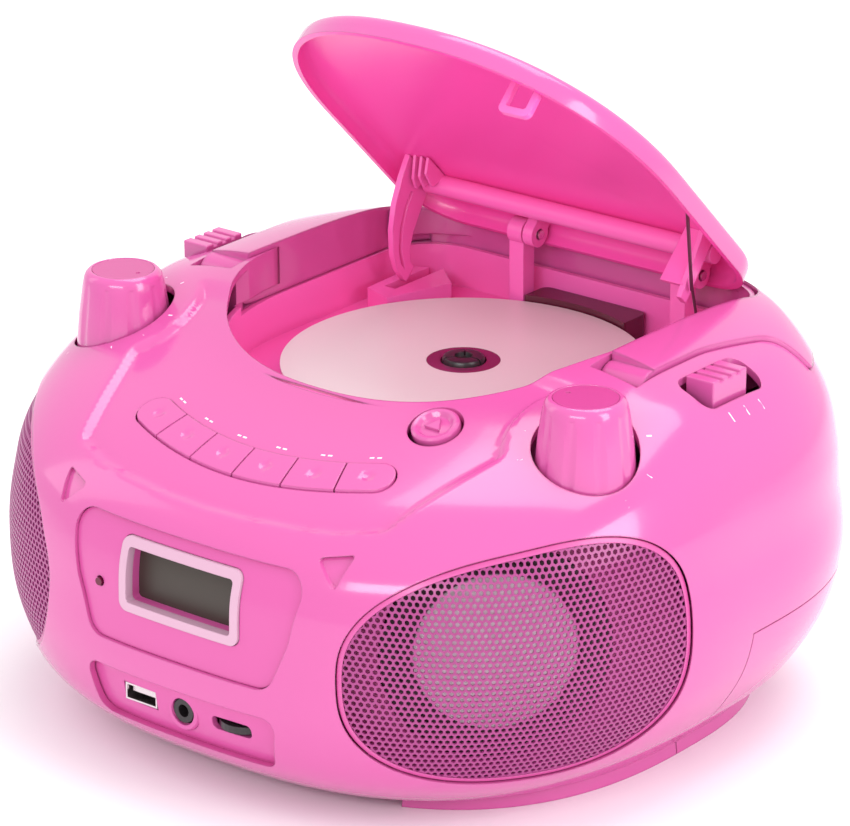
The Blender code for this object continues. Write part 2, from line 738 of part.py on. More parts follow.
def make_slider(name, side):
    x, y = side * SLIDER_X, SLIDER_Y - 0.002
    width, length = SLIDER_THUMB
    height = SLIDER_TOP - 0.108
    slider = part(name, box((x, y, SLIDER_TOP - height / 2), (width, length, height)), PINK, 0.25,
                  origin=(x, y, SLIDER_TOP))
    for rib in range(3):
        cut(slider, box((x, y + (rib - 1) * 0.0045, SLIDER_TOP), (width + 0.002, 0.0018, 0.0020)))
    edge = slider.modifiers.new("edge", "BEVEL")
    edge.width = 0.0003
    edge.segments = 1
    return slider


def make_keys():
    cell = 2 * KEY_SPREAD / KEY_COUNT
    gap_angle = KEY_GAP / KEY_INNER
    for index, name in enumerate(KEY_NAMES):
        start = -KEY_SPREAD + index * cell
        sector = key_sector(start + gap_angle / 2, start + cell - gap_angle / 2, KEY_INNER, KEY_OUTER, 3)
        middle = start + cell / 2
        radius = (KEY_INNER + KEY_OUTER) / 2
        x, y = radius * math.sin(middle), DISC_Y - radius * math.cos(middle)
        key = part(name, prism(sector, case_height(x, y) - 0.010, 0.14), PINK, 0.25,
                   origin=(x, y, case_height(x, y)))
        keep(key, case_solid(0.0, KEY_PROUD))


def make_key_board():
    sector = key_sector(-KEY_SPREAD, KEY_SPREAD, KEY_INNER - 0.004, KEY_OUTER + 0.001, 8)
    part("key_board", prism(sector, 0.0870, 0.0870 + BOARD_THICKNESS), COPPER_GREEN, 0.5)


def make_open_button():
    """The lid release: a round button whose stem drives a sliding hook under the case top."""
    x, y = OPEN_BUTTON
    top = case_height(x, y) + 0.0008
    button = part("open_button", rod((x, y, top - 0.0075), (x, y, top + 0.004), OPEN_BUTTON_RADIUS,
                                     sides=28), PINK, 0.25,
                  origin=(x, y, top))
    keep(button, case_solid(0.0, 0.0012))
    add(button, rod((x, y, 0.1045), (x, y, top - 0.005), OPEN_STEM_RADIUS, sides=16))
    reach = LOOP_Y - 0.0019
    riser_y = LOOP_Y - 0.0172
    hook = part("latch_hook", box((HOOK_X + 0.002, riser_y - 0.004, 0.0995),
                                  (HOOK_WIDTH + 0.004, 0.010, 0.003)),
                DEEP_PINK, 0.3, origin=(HOOK_X, riser_y, 0.0995))
    add(hook, box((HOOK_X, riser_y, 0.1065), (HOOK_WIDTH, 0.0017, 0.0165)))
    add(hook, box((HOOK_X, (riser_y + reach) / 2, 0.1135), (HOOK_WIDTH, reach - riser_y, 0.0024)))


# ---------------------------------------------------------------- front

def make_display():
    panel = skin("display_panel", front_prism(panel_outline(), -0.2, BODY_Y - 0.06), 0.0012, 0.0032, PINK,
                 roughness=0.22)
    cut(panel, front_prism(front_box(BEZEL_HALF, BEZEL_HEIGHTS, GAP), -0.2, 0.0))
    cut(panel, rod((-0.0335, -0.2, 0.064), (-0.0335, 0, 0.064), 0.0017, sides=12))
    bezel = skin("display_bezel", front_prism(front_box(BEZEL_HALF, BEZEL_HEIGHTS), -0.2, BODY_Y - 0.06),
                 0.0002, 0.0036, (0.82, 0.58, 0.70), roughness=0.3)
    inner = (BEZEL_HEIGHTS[0] + WINDOW_MARGIN, BEZEL_HEIGHTS[1] - WINDOW_MARGIN)
    cut(bezel, front_prism(front_box(BEZEL_HALF - WINDOW_MARGIN, inner, 0.0, 0.0015), -0.2, 0.0))
    pane = front_box(BEZEL_HALF - WINDOW_MARGIN - GAP, (inner[0] + GAP, inner[1] - GAP), 0.0, 0.0012)
    skin("display_window", front_prism(pane, -0.2, BODY_Y - 0.06),
         0.0016, 0.0028, (0.06, 0.05, 0.04), roughness=0.08)
    middle = (inner[0] + inner[1]) / 2
    part("display_module", box((0, BODY_Y - FRONT_DEPTH + 0.0125, middle), (0.046, 0.005, 0.022)), DARK, 0.5)
    tip = BODY_Y - FRONT_DEPTH + 0.0030
    part("power_led", rod((-0.0335, tip, 0.064), (-0.0335, tip + 0.006, 0.064), 0.0013, sides=12),
         (0.2, 0.01, 0.02), 0.1)


def make_ports():
    plate = skin("port_panel", front_prism(front_box(PORT_HALF, PORT_HEIGHTS), -0.2, BODY_Y - 0.06),
                 0.0030, 0.0050,
                 PINK, roughness=0.25)
    socket_width, socket_height = 0.0131, 0.0057
    cut(plate, box((USB_X, -0.12, PORT_Z), (socket_width + 2 * GAP, 0.1, socket_height + 2 * GAP)))
    cut(plate, rod((JACK_X, -0.2, PORT_Z), (JACK_X, 0, PORT_Z), 0.0040 + GAP, sides=20))
    cut(plate, box((WHEEL_X, -0.12, PORT_Z), (0.0150, 0.1, 0.0042)))
    face = BODY_Y - FRONT_DEPTH + 0.0042
    socket = part("usb_socket", box((USB_X, face + 0.0075, PORT_Z), (socket_width, 0.0145, socket_height)),
                  METAL, 0.3, 1.0)
    cut(socket, box((USB_X, face + 0.0055, PORT_Z), (socket_width - 0.0012, 0.0140, socket_height - 0.0012)))
    add(socket, box((USB_X, face + 0.0080, PORT_Z + 0.0004), (0.0100, 0.0120, 0.0016)))
    jack = part("aux_jack", rod((JACK_X, face - 0.0002, PORT_Z), (JACK_X, face + 0.014, PORT_Z), 0.0040,
                                sides=20), DARK, 0.4)
    cut(jack, rod((JACK_X, face - 0.002, PORT_Z), (JACK_X, face + 0.012, PORT_Z), 0.0021, sides=16))
    wheel_y = face + WHEEL_RADIUS - 0.0012
    half_wheel = Vector((0, 0, 0.0012))
    wheel_centre = Vector((WHEEL_X, wheel_y, PORT_Z))
    wheel = part("mic_volume_wheel", rod(wheel_centre - half_wheel, wheel_centre + half_wheel, WHEEL_RADIUS, sides=28),
                 DARK, 0.5, origin=wheel_centre)
    cut(wheel, rod((WHEEL_X, wheel_y, 0), (WHEEL_X, wheel_y, 0.1), 0.0016, sides=12))
    pot = part("mic_volume_pot", box((WHEEL_X, wheel_y + 0.0035, PORT_Z - 0.0036),
                                     (0.009, 0.009, 0.0035)), METAL, 0.4, 0.7)
    add(pot, rod((WHEEL_X, wheel_y, PORT_Z - 0.003), (WHEEL_X, wheel_y, PORT_Z + 0.0014), 0.0012, sides=12))


# ---------------------------------------------------------------- speakers

def make_speaker(word, side):
    skin(word + "_grille", grille_prism(side, -0.0002), GRILLE_INSET, GRILLE_INSET + GRILLE_SHEET,
         DEEP_PINK, roughness=0.45)
    front = -SPEAKER_FRONT
    place = speaker_frame(side)

    def along(near, far, radius, end_radius=None, sides=28):
        return moved(rod((0, front + near, SPEAKER_Z), (0, front + far, SPEAKER_Z), radius, end_radius,
                         sides), place)

    axis_point = place @ Vector((0, front + 0.004, SPEAKER_Z))
    frame = part(word + "_speaker_frame", along(0.0, 0.0020, SPEAKER_RADIUS), METAL, 0.4, 0.6)
    add(frame, along(0.0015, 0.020, SPEAKER_RADIUS - 0.004, 0.016))
    cut(frame, along(-0.0010, 0.0185, SPEAKER_RADIUS - 0.0045, 0.0125))
    cut(frame, along(0.015, 0.030, 0.0105))
    add(frame, along(0.0195, 0.031, 0.0185))
    cut(frame, along(0.012, 0.0290, 0.0088))
    cone = part(word + "_speaker_cone", along(0.0014, 0.0160, SPEAKER_RADIUS - 0.0078, 0.0100), WHITE,
                0.6, origin=axis_point)
    cut(cone, along(0.0004, 0.0148, SPEAKER_RADIUS - 0.0090, 0.0080))
    add(cone, along(0.0150, 0.0255, 0.0080))


# ---------------------------------------------------------------- disc mechanism

def make_disc():
    axis = (0, DISC_Y, DISC_Z)
    hub = part("turntable", rod((0, DISC_Y, 0.1000), (0, DISC_Y, DISC_Z - DISC_THICKNESS - GAP), 0.0155,
                                sides=28), DARK, 0.35, origin=axis)
    add(hub, rod((0, DISC_Y, 0.1015), (0, DISC_Y, DISC_Z + 0.0016), DISC_HOLE - GAP, 0.0058, sides=28))
    add(hub, rod((0, DISC_Y, 0.0925), (0, DISC_Y, 0.1010), 0.0030, sides=16))
    disc = part("compact_disc", rod((0, DISC_Y, DISC_Z - DISC_THICKNESS), (0, DISC_Y, DISC_Z),
                                    DISC_RADIUS, sides=64), WHITE, 0.15, origin=axis)
    cut(disc, rod((0, DISC_Y, 0.09), (0, DISC_Y, 0.11), DISC_HOLE, sides=28))


def make_mechanism():
    chassis = part("mechanism_chassis", box((0.012, DISC_Y + 0.012, MECH_Z - 0.004), (0.110, 0.100, 0.002)),
                   DARK, 0.5)
    cut(chassis, rod((0, DISC_Y, 0.07), (0, DISC_Y, 0.10), 0.0065, sides=20))
    turn = math.radians(45)
    run = Vector((math.cos(turn), math.sin(turn), 0))
    across = Vector((-run.y, run.x, 0))
    hub = Vector((0, DISC_Y, 0))
    motor = part("spindle_motor", rod((0, DISC_Y, 0.0715), (0, DISC_Y, MECH_Z - 0.0054), 0.0120,
                                      sides=24), METAL, 0.3, 0.9)
    add(motor, rod((0, DISC_Y, 0.080), (0, DISC_Y, 0.0920), 0.0010, sides=12))
    for name, shift in (("sled_rail_left", 0.0115), ("sled_rail_right", -0.0115)):
        start, end = (hub + run * reach + across * shift + Vector((0, 0, 0.0905)) for reach in (0.010, 0.064))
        part(name, rod(start, end, 0.0012, sides=12), METAL, 0.2, 1.0)
    centre = hub + run * 0.028 + Vector((0, 0, 0.0905))
    sled = part("optical_pickup", box(centre, (0.015, 0.031, 0.0060), turn), DARK, 0.4, origin=centre)
    for shift in (0.0115, -0.0115):
        start, end = (centre + run * reach + across * shift for reach in (-0.012, 0.012))
        cut(sled, rod(start, end, 0.0012 + GAP, sides=12))
    lens = centre + Vector((0, 0, 0.0025))
    add(sled, rod(lens, lens + Vector((0, 0, 0.0045)), 0.0036, sides=20))
    rack = centre - across * 0.0170
    add(sled, box(rack, (0.030, 0.0040, 0.0020), turn))
    gear_place = centre - across * 0.0240 + run * 0.010
    gear = part("sled_gear", gear_disc(gear_place, 0.0042, 12, 0.0020), WHITE, 0.4, origin=gear_place)
    cut(gear, rod(gear_place - Vector((0, 0, 0.01)), gear_place + Vector((0, 0, 0.01)), 0.0009, sides=12))
    motor_low = gear_place - Vector((0, 0, 0.0170))
    motor_high = gear_place - Vector((0, 0, 0.0080))
    shaft = part("sled_motor", rod(motor_low, motor_high, 0.0070, sides=20), METAL, 0.3, 0.9)
    add(shaft, rod(gear_place - Vector((0, 0, 0.009)), gear_place + Vector((0, 0, 0.0016)), 0.0006, sides=10))
    hole = rod(gear_place - Vector((0, 0, 0.010)), gear_place, 0.0016, sides=12)
    cut(chassis, hole)
    outline = rounded_box(0.0215, 0.0076, 0.003, (0.0025, DISC_Y + 0.0616))
    cover = part("mechanism_cover", prism(outline, WELL_FLOOR + GAP, DISC_Z + 0.002), DARK, 0.3)
    cut(cover, rod((0, DISC_Y, 0.09), (0, DISC_Y, 0.12), DISC_RADIUS + 0.0008, sides=64))


def gear_disc(centre, radius, teeth, height):
    outline = []
    for tooth in range(teeth):
        for share, reach in ((0.0, -0.0004), (0.30, -0.0004), (0.45, 0.0004), (0.80, 0.0004)):
            angle = 2 * math.pi * (tooth + share) / teeth
            outline.append((centre[0] + (radius + reach) * math.cos(angle),
                            centre[1] + (radius + reach) * math.sin(angle)))
    return prism(outline, centre[2] - height / 2, centre[2] + height / 2)


# ---------------------------------------------------------------- electronics, power and rear

def make_electronics():
    part("main_board", box((0, BODY_Y - 0.030, 0.0560), (0.090, 0.070, BOARD_THICKNESS)), COPPER_GREEN, 0.5)
    part("transformer", box((-0.078, BODY_Y + 0.020, 0.0250), (0.034, 0.030, 0.026)), METAL, 0.5, 0.5)
    inlet_y = BODY_Y + REAR_DEPTH - 0.0148
    inlet = part("mains_inlet", box((INLET_X, inlet_y - 0.004, INLET_Z), (0.0200, 0.016, 0.0160)), DARK, 0.4)
    cut(inlet, box((INLET_X, inlet_y, INLET_Z), (0.0160, 0.016, 0.0095)))
    for shift in (-0.0042, 0.0042):
        add(inlet, rod((INLET_X + shift, inlet_y - 0.009, INLET_Z),
                       (INLET_X + shift, inlet_y + 0.0035, INLET_Z), 0.0012, sides=10))


def make_battery():
    length, width, height = BATTERY_BAY
    base = FOOT_HEIGHT + WALL + GAP
    holder = part("battery_box", box((0, BATTERY_Y, base + (height + 2 * WALL) / 2 - WALL / 2),
                                     (length + 2 * WALL, width + 2 * WALL, height + WALL)), PINK, 0.4)
    cut(holder, box((0, BATTERY_Y, base + height / 2 - 0.005), (length, width, height + 0.010)))
    door_y = BATTERY_Y - GAP / 2
    hinge = (0, BATTERY_Y + width / 2 - 0.0020, FOOT_HEIGHT + WALL / 2)
    door_size = (length - 2 * GAP, width - 3 * GAP, WALL)
    door = part("battery_door", box((0, door_y, FOOT_HEIGHT + WALL / 2), door_size),
                PINK, 0.3, origin=hinge)
    for rib in range(3):
        cut(door, box((0, BATTERY_Y - 0.018 + rib * 0.004, FOOT_HEIGHT), (0.030, 0.0015, 0.0016)))
    return holder


def make_antenna():
    """Three telescoping tubes folded into the groove in the back, on an elbow at the right."""
    base = Vector((ANTENNA_X, ANTENNA_Y, ANTENNA_Z))
    back, left, up = Vector((0, 1, 0)), Vector((-1, 0, 0)), Vector((0, 0, 1))
    bracket = part("antenna_bracket", rod(base + back * 0.0020, base - back * 0.0105, 0.0036, sides=20),
                   METAL, 0.25, 1.0)
    cut(bracket, box(base + back * 0.0020, (0.02, 0.0100, 0.0028)))
    add(bracket, rod(base - up * 0.0020, base + up * 0.0020, 0.0009, sides=12))
    outer_radius, middle_radius, inner_radius = ANTENNA_RADII
    start, end = base + left * 0.0060, base + left * ANTENNA_LENGTH
    outer = part("antenna_outer_tube", rod(start, end, outer_radius, sides=16), METAL, 0.2, 1.0, origin=base)
    cut(outer, rod(start + left * 0.004, end + left * 0.01, middle_radius + 0.0003, sides=16))
    add(outer, box(base + left * 0.0030, (0.0092, 0.0034, 0.0020)))
    cut(outer, rod(base - up * 0.004, base + up * 0.004, 0.0013, sides=12))
    middle = part("antenna_middle_tube", rod(start + left * 0.006, end + left * 0.003, middle_radius,
                                             sides=14), METAL, 0.2,
                  1.0, origin=base)
    cut(middle, rod(start + left * 0.008, end + left * 0.02, inner_radius + 0.0003, sides=12))
    part("antenna_tip_rod", rod(start + left * 0.010, end + left * 0.007, inner_radius, sides=12), METAL,
         0.2, 1.0, origin=base)


def build():
    make_top_cabinet()
    make_rear_cabinet()
    make_well()
    make_lid()
    make_hinge_pins()
    make_lid_spring()
    make_handle()
    make_knob("volume_knob", "volume_potentiometer", -1)
    make_knob("tuning_knob", "tuning_capacitor", 1)
    make_slider("function_slider", -1)
    make_slider("band_slider", 1)
    make_keys()
    make_key_board()
    make_open_button()
    make_display()
    make_ports()
    make_speaker("left", -1)
    make_speaker("right", 1)
    make_disc()
    make_mechanism()
    make_electronics()
    make_battery()
    make_antenna()


build()
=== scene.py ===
"""Looks for the portable CD player: fine moulded shells, perforated grilles and studio light."""
import math

import bmesh
import bpy
import numpy as np
from mathutils import Matrix, Vector


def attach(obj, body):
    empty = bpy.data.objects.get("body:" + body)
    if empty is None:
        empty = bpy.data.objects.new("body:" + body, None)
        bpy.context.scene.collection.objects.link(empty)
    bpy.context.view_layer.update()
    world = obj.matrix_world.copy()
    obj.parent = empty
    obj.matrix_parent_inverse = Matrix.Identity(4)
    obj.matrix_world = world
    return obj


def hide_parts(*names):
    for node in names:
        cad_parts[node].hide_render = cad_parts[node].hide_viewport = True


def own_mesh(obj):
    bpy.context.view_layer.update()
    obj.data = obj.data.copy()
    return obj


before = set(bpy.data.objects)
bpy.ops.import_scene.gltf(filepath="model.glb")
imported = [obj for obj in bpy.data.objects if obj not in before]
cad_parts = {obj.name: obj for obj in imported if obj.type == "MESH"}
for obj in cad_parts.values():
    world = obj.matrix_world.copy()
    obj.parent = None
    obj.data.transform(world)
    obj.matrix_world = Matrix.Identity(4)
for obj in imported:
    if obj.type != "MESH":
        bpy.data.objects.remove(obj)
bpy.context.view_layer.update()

# Case, as in the frame
HALF_WIDTH = 0.132
FRONT_DEPTH = 0.131
REAR_DEPTH = 0.1055
BODY_HEIGHT = 0.131
WALL = 0.0024
GAP = 0.0004
POWER = 2.6
BODY_Y = (FRONT_DEPTH - REAR_DEPTH) / 2
STATIONS = np.array((
    (0.034, 0.780, 0.770, 0.800), (0.061, 0.803, 0.870, 0.862), (0.145, 0.890, 0.966, 0.900),
    (0.282, 0.970, 1.000, 0.957), (0.435, 1.000, 0.992, 0.990), (0.573, 0.981, 0.981, 1.000),
    (0.687, 0.970, 0.920, 0.995), (0.794, 0.932, 0.756, 0.986), (0.900, 0.841, 0.470, 0.948),
    (0.947, 0.750, 0.336, 0.891), (0.981, 0.591, 0.198, 0.758), (0.996, 0.300, 0.080, 0.400)))
RING_POINTS = 560
STEPS_PER_STATION = 18
FOOT_HEIGHT = 0.034 * BODY_HEIGHT
FOOT_RAIL_WIDTH = 0.008
FOOT_OPEN_HALF = 0.058
SEAM_Y = BODY_Y - 0.008
SEAM_Z = 0.050
ABOVE = 0.14
BEFORE = -0.2
FRONT_LIMIT = BODY_Y - 0.06
ANTENNA_Y = BODY_Y + REAR_DEPTH - 0.0135
ANTENNA_Z = 0.101

# Disc, well and lid
DISC_Y = BODY_Y + 0.013
DISC_Z = 0.104
DISC_RADIUS = 0.060
PRINT_RADIUS = 0.0122
WELL_HALF = 0.074
WELL_FRONT = 0.073
WELL_REAR = 0.070
WELL_CORNER = 0.020
WELL_FLOOR = 0.0975
WELL_WALL = 0.0020
WELL_RIM_FRONT = 0.1165
LID_HALF = WELL_HALF - 0.0025
LID_FRONT = WELL_FRONT - 0.0025
LID_REAR = 0.069
LID_OPEN = math.radians(44.5)
HINGE = Vector((0, DISC_Y + 0.061, 0.1275))
EAR_X = (-0.0174, 0.0496)
POST_X = (-0.0230, 0.0440)
EAR_RADIUS = 0.0045
PIN_BORE = 0.0019
STAY_X = -0.0620
RIB_X = -0.0592
RIB_STEP = 0.0028
LID_POWER = 2.3

# Handle
ARM_INNER = 0.0747
ARM_OUTER = 0.0910
ARM_SPREAD = 0.0955
HANDLE_FLOOR = 0.1120
PIVOT_Y = DISC_Y - 0.020
PIVOT_Z = HANDLE_FLOOR + 0.0080
ARM_END = 0.0073
HANDLE_REAR = 0.0765
HANDLE_CORNER = 0.024
HANDLE_RISE = 0.0015

# Controls
KNOB_X = 0.0945
KNOB_Y = DISC_Y - 0.060
KNOB_TOP = 0.1316
KNOB_BASE = KNOB_TOP - 0.0264
KNOB_HOLE = 0.0167
FLUTES = 10
COLLAR_RADIUS = 0.0245
SLIDER_X = 0.1040
SLIDER_Y = DISC_Y - 0.003
KEY_INNER = 0.1040
KEY_OUTER = 0.1155
KEY_SPREAD = math.radians(27.5)
KEY_NAMES = ("mode_key", "folder_key", "play_key", "stop_key", "skip_back_key", "skip_forward_key")
OPEN_X, OPEN_Y = 0.0475, DISC_Y - 0.0740
OPEN_RADIUS = 0.0083
TONGUE_DEPTH = 0.0022
PORT_Z = 0.029
USB_X = -0.0180
WHEEL_X = 0.0195
LIGHT_X, LIGHT_Z = -0.0335, 0.064
LCD_Z = 0.0697
TICK_START, TICK_END = 0.0195, 0.0212
KEY_TICK_RADIUS = 0.1012

# Speakers
SPEAKER_TURN = math.radians(47.0)
SPEAKER_Z = 0.0570
GRILLE_SIDE = 0.0050
GRILLE_POWER = 2.6
GRILLE_HALF = 0.0550
GRILLE_RISE = 0.0375
GRILLE_INSET = 0.0012
GRILLE_TAPER = 0.13
GRILLE_TILT = 0.0035
BAFFLE_Y = -0.1180
HOLE_PITCH = 0.0021
HOLE_RADIUS = 0.00080


# ---------------------------------------------------------------- meshes

def mesh_of(points, faces):
    mesh = bpy.data.meshes.new("shape")
    mesh.from_pydata([tuple(map(float, point)) for point in points], [], faces)
    mesh.validate()
    return mesh


def from_bmesh(build):
    mesh = bpy.data.meshes.new("shape")
    build.normal_update()
    build.to_mesh(mesh)
    build.free()
    return mesh


def box(centre, size, turn=None):
    build = bmesh.new()
    place = Matrix.Translation(centre) @ (turn or Matrix.Identity(4)) @ Matrix.Diagonal((*size, 1))
    bmesh.ops.create_cube(build, size=1, matrix=place)
    return from_bmesh(build)


def rod(start, end, radius, end_radius=None, sides=64):
    start, end = Vector(start), Vector(end)
    along = end - start
    turn = Vector((0, 0, 1)).rotation_difference(along.normalized()).to_matrix().to_4x4()
    build = bmesh.new()
    bmesh.ops.create_cone(build, cap_ends=True, segments=sides, radius1=radius,
                          radius2=radius if end_radius is None else end_radius, depth=along.length,
                          matrix=Matrix.Translation((start + end) / 2) @ turn)
    return from_bmesh(build)


def ball(centre, radius):
    build = bmesh.new()
    bmesh.ops.create_uvsphere(build, u_segments=32, v_segments=20, radius=radius,
                              matrix=Matrix.Translation(centre))
    return from_bmesh(build)


def prism(outline, low, high):
    count = len(outline)
    area = sum(a[0] * b[1] - b[0] * a[1] for a, b in zip(outline, outline[1:] + outline[:1]))
    if area < 0:
        outline = outline[::-1]
    points = [(x, y, low) for x, y in outline] + [(x, y, high) for x, y in outline]
    faces = [tuple(range(count))[::-1], tuple(range(count, 2 * count))]
    faces += [(i, (i + 1) % count, count + (i + 1) % count, count + i) for i in range(count)]
    return mesh_of(points, faces)


def front_prism(outline, near=-0.2, far=0.0):
    mesh = prism([(x, -z) for x, z in outline], near, far)
    mesh.transform(Matrix.Rotation(math.radians(-90), 4, "X"))
    return mesh


def revolved(profile, centre, sides=96, turn=None):
    """A closed solid turned about Z from a (radius, height) profile that starts and ends on the axis."""
    points = [(0, 0, profile[0][1])]
    rings = profile[1:-1]
    for radius, height in rings:
        for step in range(sides):
            angle = 2 * math.pi * step / sides
            points.append((radius * math.cos(angle), radius * math.sin(angle), height))
    points.append((0, 0, profile[-1][1]))
    last = len(points) - 1
    faces = []
    for step in range(sides):
        after = (step + 1) % sides
        faces.append((0, 1 + step, 1 + after))
        for ring in range(len(rings) - 1):
            low, high = 1 + ring * sides, 1 + (ring + 1) * sides
            faces.append((low + step, high + step, high + after, low + after))
        top = 1 + (len(rings) - 1) * sides
        faces.append((top + step, last, top + after))
    mesh = mesh_of(points, faces)
    mesh.transform(Matrix.Translation(centre) @ (turn or Matrix.Identity(4)))
    outward(mesh)
    return mesh


def outward(mesh):
    build = bmesh.new()
    build.from_mesh(mesh)
    bmesh.ops.remove_doubles(build, verts=build.verts, dist=0.000005)
    bmesh.ops.recalc_face_normals(build, faces=build.faces)
    build.to_mesh(mesh)
    build.free()


def moved(mesh, matrix):
    mesh.transform(matrix)
    return mesh


def arc(centre, radius, start, end, steps):
    angles = [math.radians(start + (end - start) * step / steps) for step in range(steps + 1)]
    return [(centre[0] + radius * math.cos(a), centre[1] + radius * math.sin(a)) for a in angles]


def rounded(corners, radius, steps=8):
    """A closed outline with every corner rounded."""
    points = []
    for before, corner, after in zip(corners[-1:] + corners[:-1], corners, corners[1:] + corners[:1]):
        corner, before, after = Vector(corner), Vector(before), Vector(after)
        back, on = (before - corner).normalized(), (after - corner).normalized()
        half = back.angle(on) / 2
        reach = radius / math.tan(half)
        middle = corner + (back + on).normalized() * radius / math.sin(half)
        start = corner + back * reach - middle
        total = start.angle_signed(corner + on * reach - middle)
        turns = [Matrix.Rotation(-total * step / steps, 2) for step in range(steps + 1)]
        points += [tuple(middle + turn @ start) for turn in turns]
    return points


def build(name, mesh, *steps, smooth=30, wall=0.0):
    """An object from a mesh and (operation, mesh) steps, applied."""
    item = bpy.data.objects.new(name, mesh)
    bpy.context.scene.collection.objects.link(item)
    if wall:
        shell = item.modifiers.new("wall", "SOLIDIFY")
        shell.thickness = wall
        shell.offset = -1
    tools = []
    for operation, tool_mesh in steps:
        tool = tool_mesh
        if isinstance(tool_mesh, bpy.types.Mesh):
            tool = bpy.data.objects.new("tool", tool_mesh)
            bpy.context.scene.collection.objects.link(tool)
        tools.append(tool)
        step = item.modifiers.new(operation, "BOOLEAN")
        step.operation = operation
        step.solver = "MANIFOLD"
        step.object = tool
    if item.modifiers:
        bpy.context.view_layer.update()
        final = bpy.data.meshes.new_from_object(item.evaluated_get(bpy.context.evaluated_depsgraph_get()))
        item.modifiers.clear()
        item.data = final
        for tool in tools:
            bpy.data.objects.remove(tool, do_unlink=True)
    item.data.materials.clear()
    item.data.shade_smooth()
    item.data.set_sharp_from_angle(angle=math.radians(smooth))
    return item


CUT, KEEP, ADD = "DIFFERENCE", "INTERSECT", "UNION"


# ---------------------------------------------------------------- the case surface

def case_levels():
    """Rows of height, half width, front depth and rear depth, eased between the stations."""
    last = len(STATIONS) - 1
    rows = []
    for index in range(last):
        before, start, end, after = (STATIONS[max(0, min(last, index + step))] for step in (-1, 0, 1, 2))
        for step in range(STEPS_PER_STATION):
            t = step / STEPS_PER_STATION
            square = 2 * before - 5 * start + 4 * end - after
            cube = 3 * start - before - 3 * end + after
            rows.append(0.5 * (2 * start + (end - before) * t + square * t ** 2 + cube * t ** 3))
    rows.append(STATIONS[last])
    return np.array(rows) * (BODY_HEIGHT, HALF_WIDTH, FRONT_DEPTH, REAR_DEPTH)


LEVELS = case_levels()
TONGUE_SIDE_Y = (-0.0934, -0.0804, -0.0669, -0.0477, -0.0402, -0.0300)
TONGUE_SIDE_X = (0.0591, 0.0633, 0.0680, 0.0748, 0.0760, 0.0760)
TONGUE_FRONT_X = (0.0, 0.0156, 0.0348, 0.0471, 0.0591, 0.0700)
TONGUE_FRONT_Y = (-0.1044, -0.1038, -0.1014, -0.0987, -0.0934, -0.0880)


def eased(value):
    value = np.clip(value, 0, 1)
    return value * value * (3 - 2 * value)


def relief(x, y, z):
    """How far the moulded control panel lies under the case surface."""
    side = eased((np.interp(y, TONGUE_SIDE_Y, TONGUE_SIDE_X) + 0.0030 - abs(x)) / 0.0026)
    front = eased((y - np.interp(abs(x), TONGUE_FRONT_X, TONGUE_FRONT_Y)) / 0.0030)
    collar = eased((np.hypot(abs(x) - KNOB_X, y - KNOB_Y) - COLLAR_RADIUS) / 0.0022)
    back = eased((-0.012 - y) / 0.010)
    return TONGUE_DEPTH * side * front * collar * back * (z > 0.085)


def even_ring():
    """Points at equal steps round the unit ring."""
    angle = np.linspace(0, 2 * math.pi, 20001)
    across, along = np.cos(angle), np.sin(angle)
    x = np.sign(across) * abs(across) ** (2 / POWER)
    y = np.sign(along) * abs(along) ** (2 / POWER)
    travel = np.concatenate(([0], np.cumsum(np.hypot(np.diff(x), np.diff(y)))))
    wanted = travel[-1] * np.arange(RING_POINTS) / RING_POINTS
    return np.interp(wanted, travel, x), np.interp(wanted, travel, y)


def case_points(inset=0.0, lift=0.0, with_relief=True):
    round_x, round_y = even_ring()
    depth = np.where(round_y > 0, LEVELS[:, 3:4], LEVELS[:, 2:3]) - inset
    points = np.stack(((LEVELS[:, 1:2] - inset) * round_x, BODY_Y + depth * round_y,
                       LEVELS[:, 0:1] + 0 * round_x), axis=-1)
    if with_relief:
        around = np.roll(points, -1, 1) - np.roll(points, 1, 1)
        upward = np.gradient(points, axis=0)
        normal = np.cross(around, upward)
        normal /= np.linalg.norm(normal, axis=2, keepdims=True) + 1e-12
        points = points - normal * relief(points[..., 0], points[..., 1], points[..., 2])[..., None]
    points[..., 2] += lift
    return points


def case_mesh(inset=0.0, lift=0.0, with_relief=True):
    grid = case_points(inset, lift, with_relief)
    rows, columns = grid.shape[:2]
    points = np.vstack((grid.reshape(-1, 3), [(0, BODY_Y, BODY_HEIGHT + lift)]))
    faces = [tuple(range(columns))[::-1]]
    for row in range(rows - 1):
        for column in range(columns):
            after = (column + 1) % columns
            faces.append((row * columns + column, row * columns + after,
                          (row + 1) * columns + after, (row + 1) * columns + column))
    top = (rows - 1) * columns
    faces += [(top + column, top + (column + 1) % columns, rows * columns) for column in range(columns)]
    return mesh_of(points, faces)


def case_outside(x, y, z, inset=0.0):
    """Below zero inside the case, above zero outside."""
    half, front, rear = (np.interp(z, LEVELS[:, 0], LEVELS[:, column]) - inset for column in (1, 2, 3))
    depth = np.where(y > BODY_Y, rear, front)
    return (abs(x) / half) ** POWER + (abs(y - BODY_Y) / depth) ** POWER - 1


def case_height(x, y):
    heights = np.linspace(0.06, BODY_HEIGHT - 0.0006, 600)
    outside = case_outside(x, y, heights)
    inside = np.nonzero(outside < 0)[0]
    return float(heights[inside[-1]]) - float(relief(np.array(x), np.array(y), 0.1))


def top_normal(x, y, reach=0.002):
    slope_x = (case_height(x + reach, y) - case_height(x - reach, y)) / (2 * reach)
    slope_y = (case_height(x, y + reach) - case_height(x, y - reach)) / (2 * reach)
    return Vector((-slope_x, -slope_y, 1)).normalized()


# ---------------------------------------------------------------- outlines

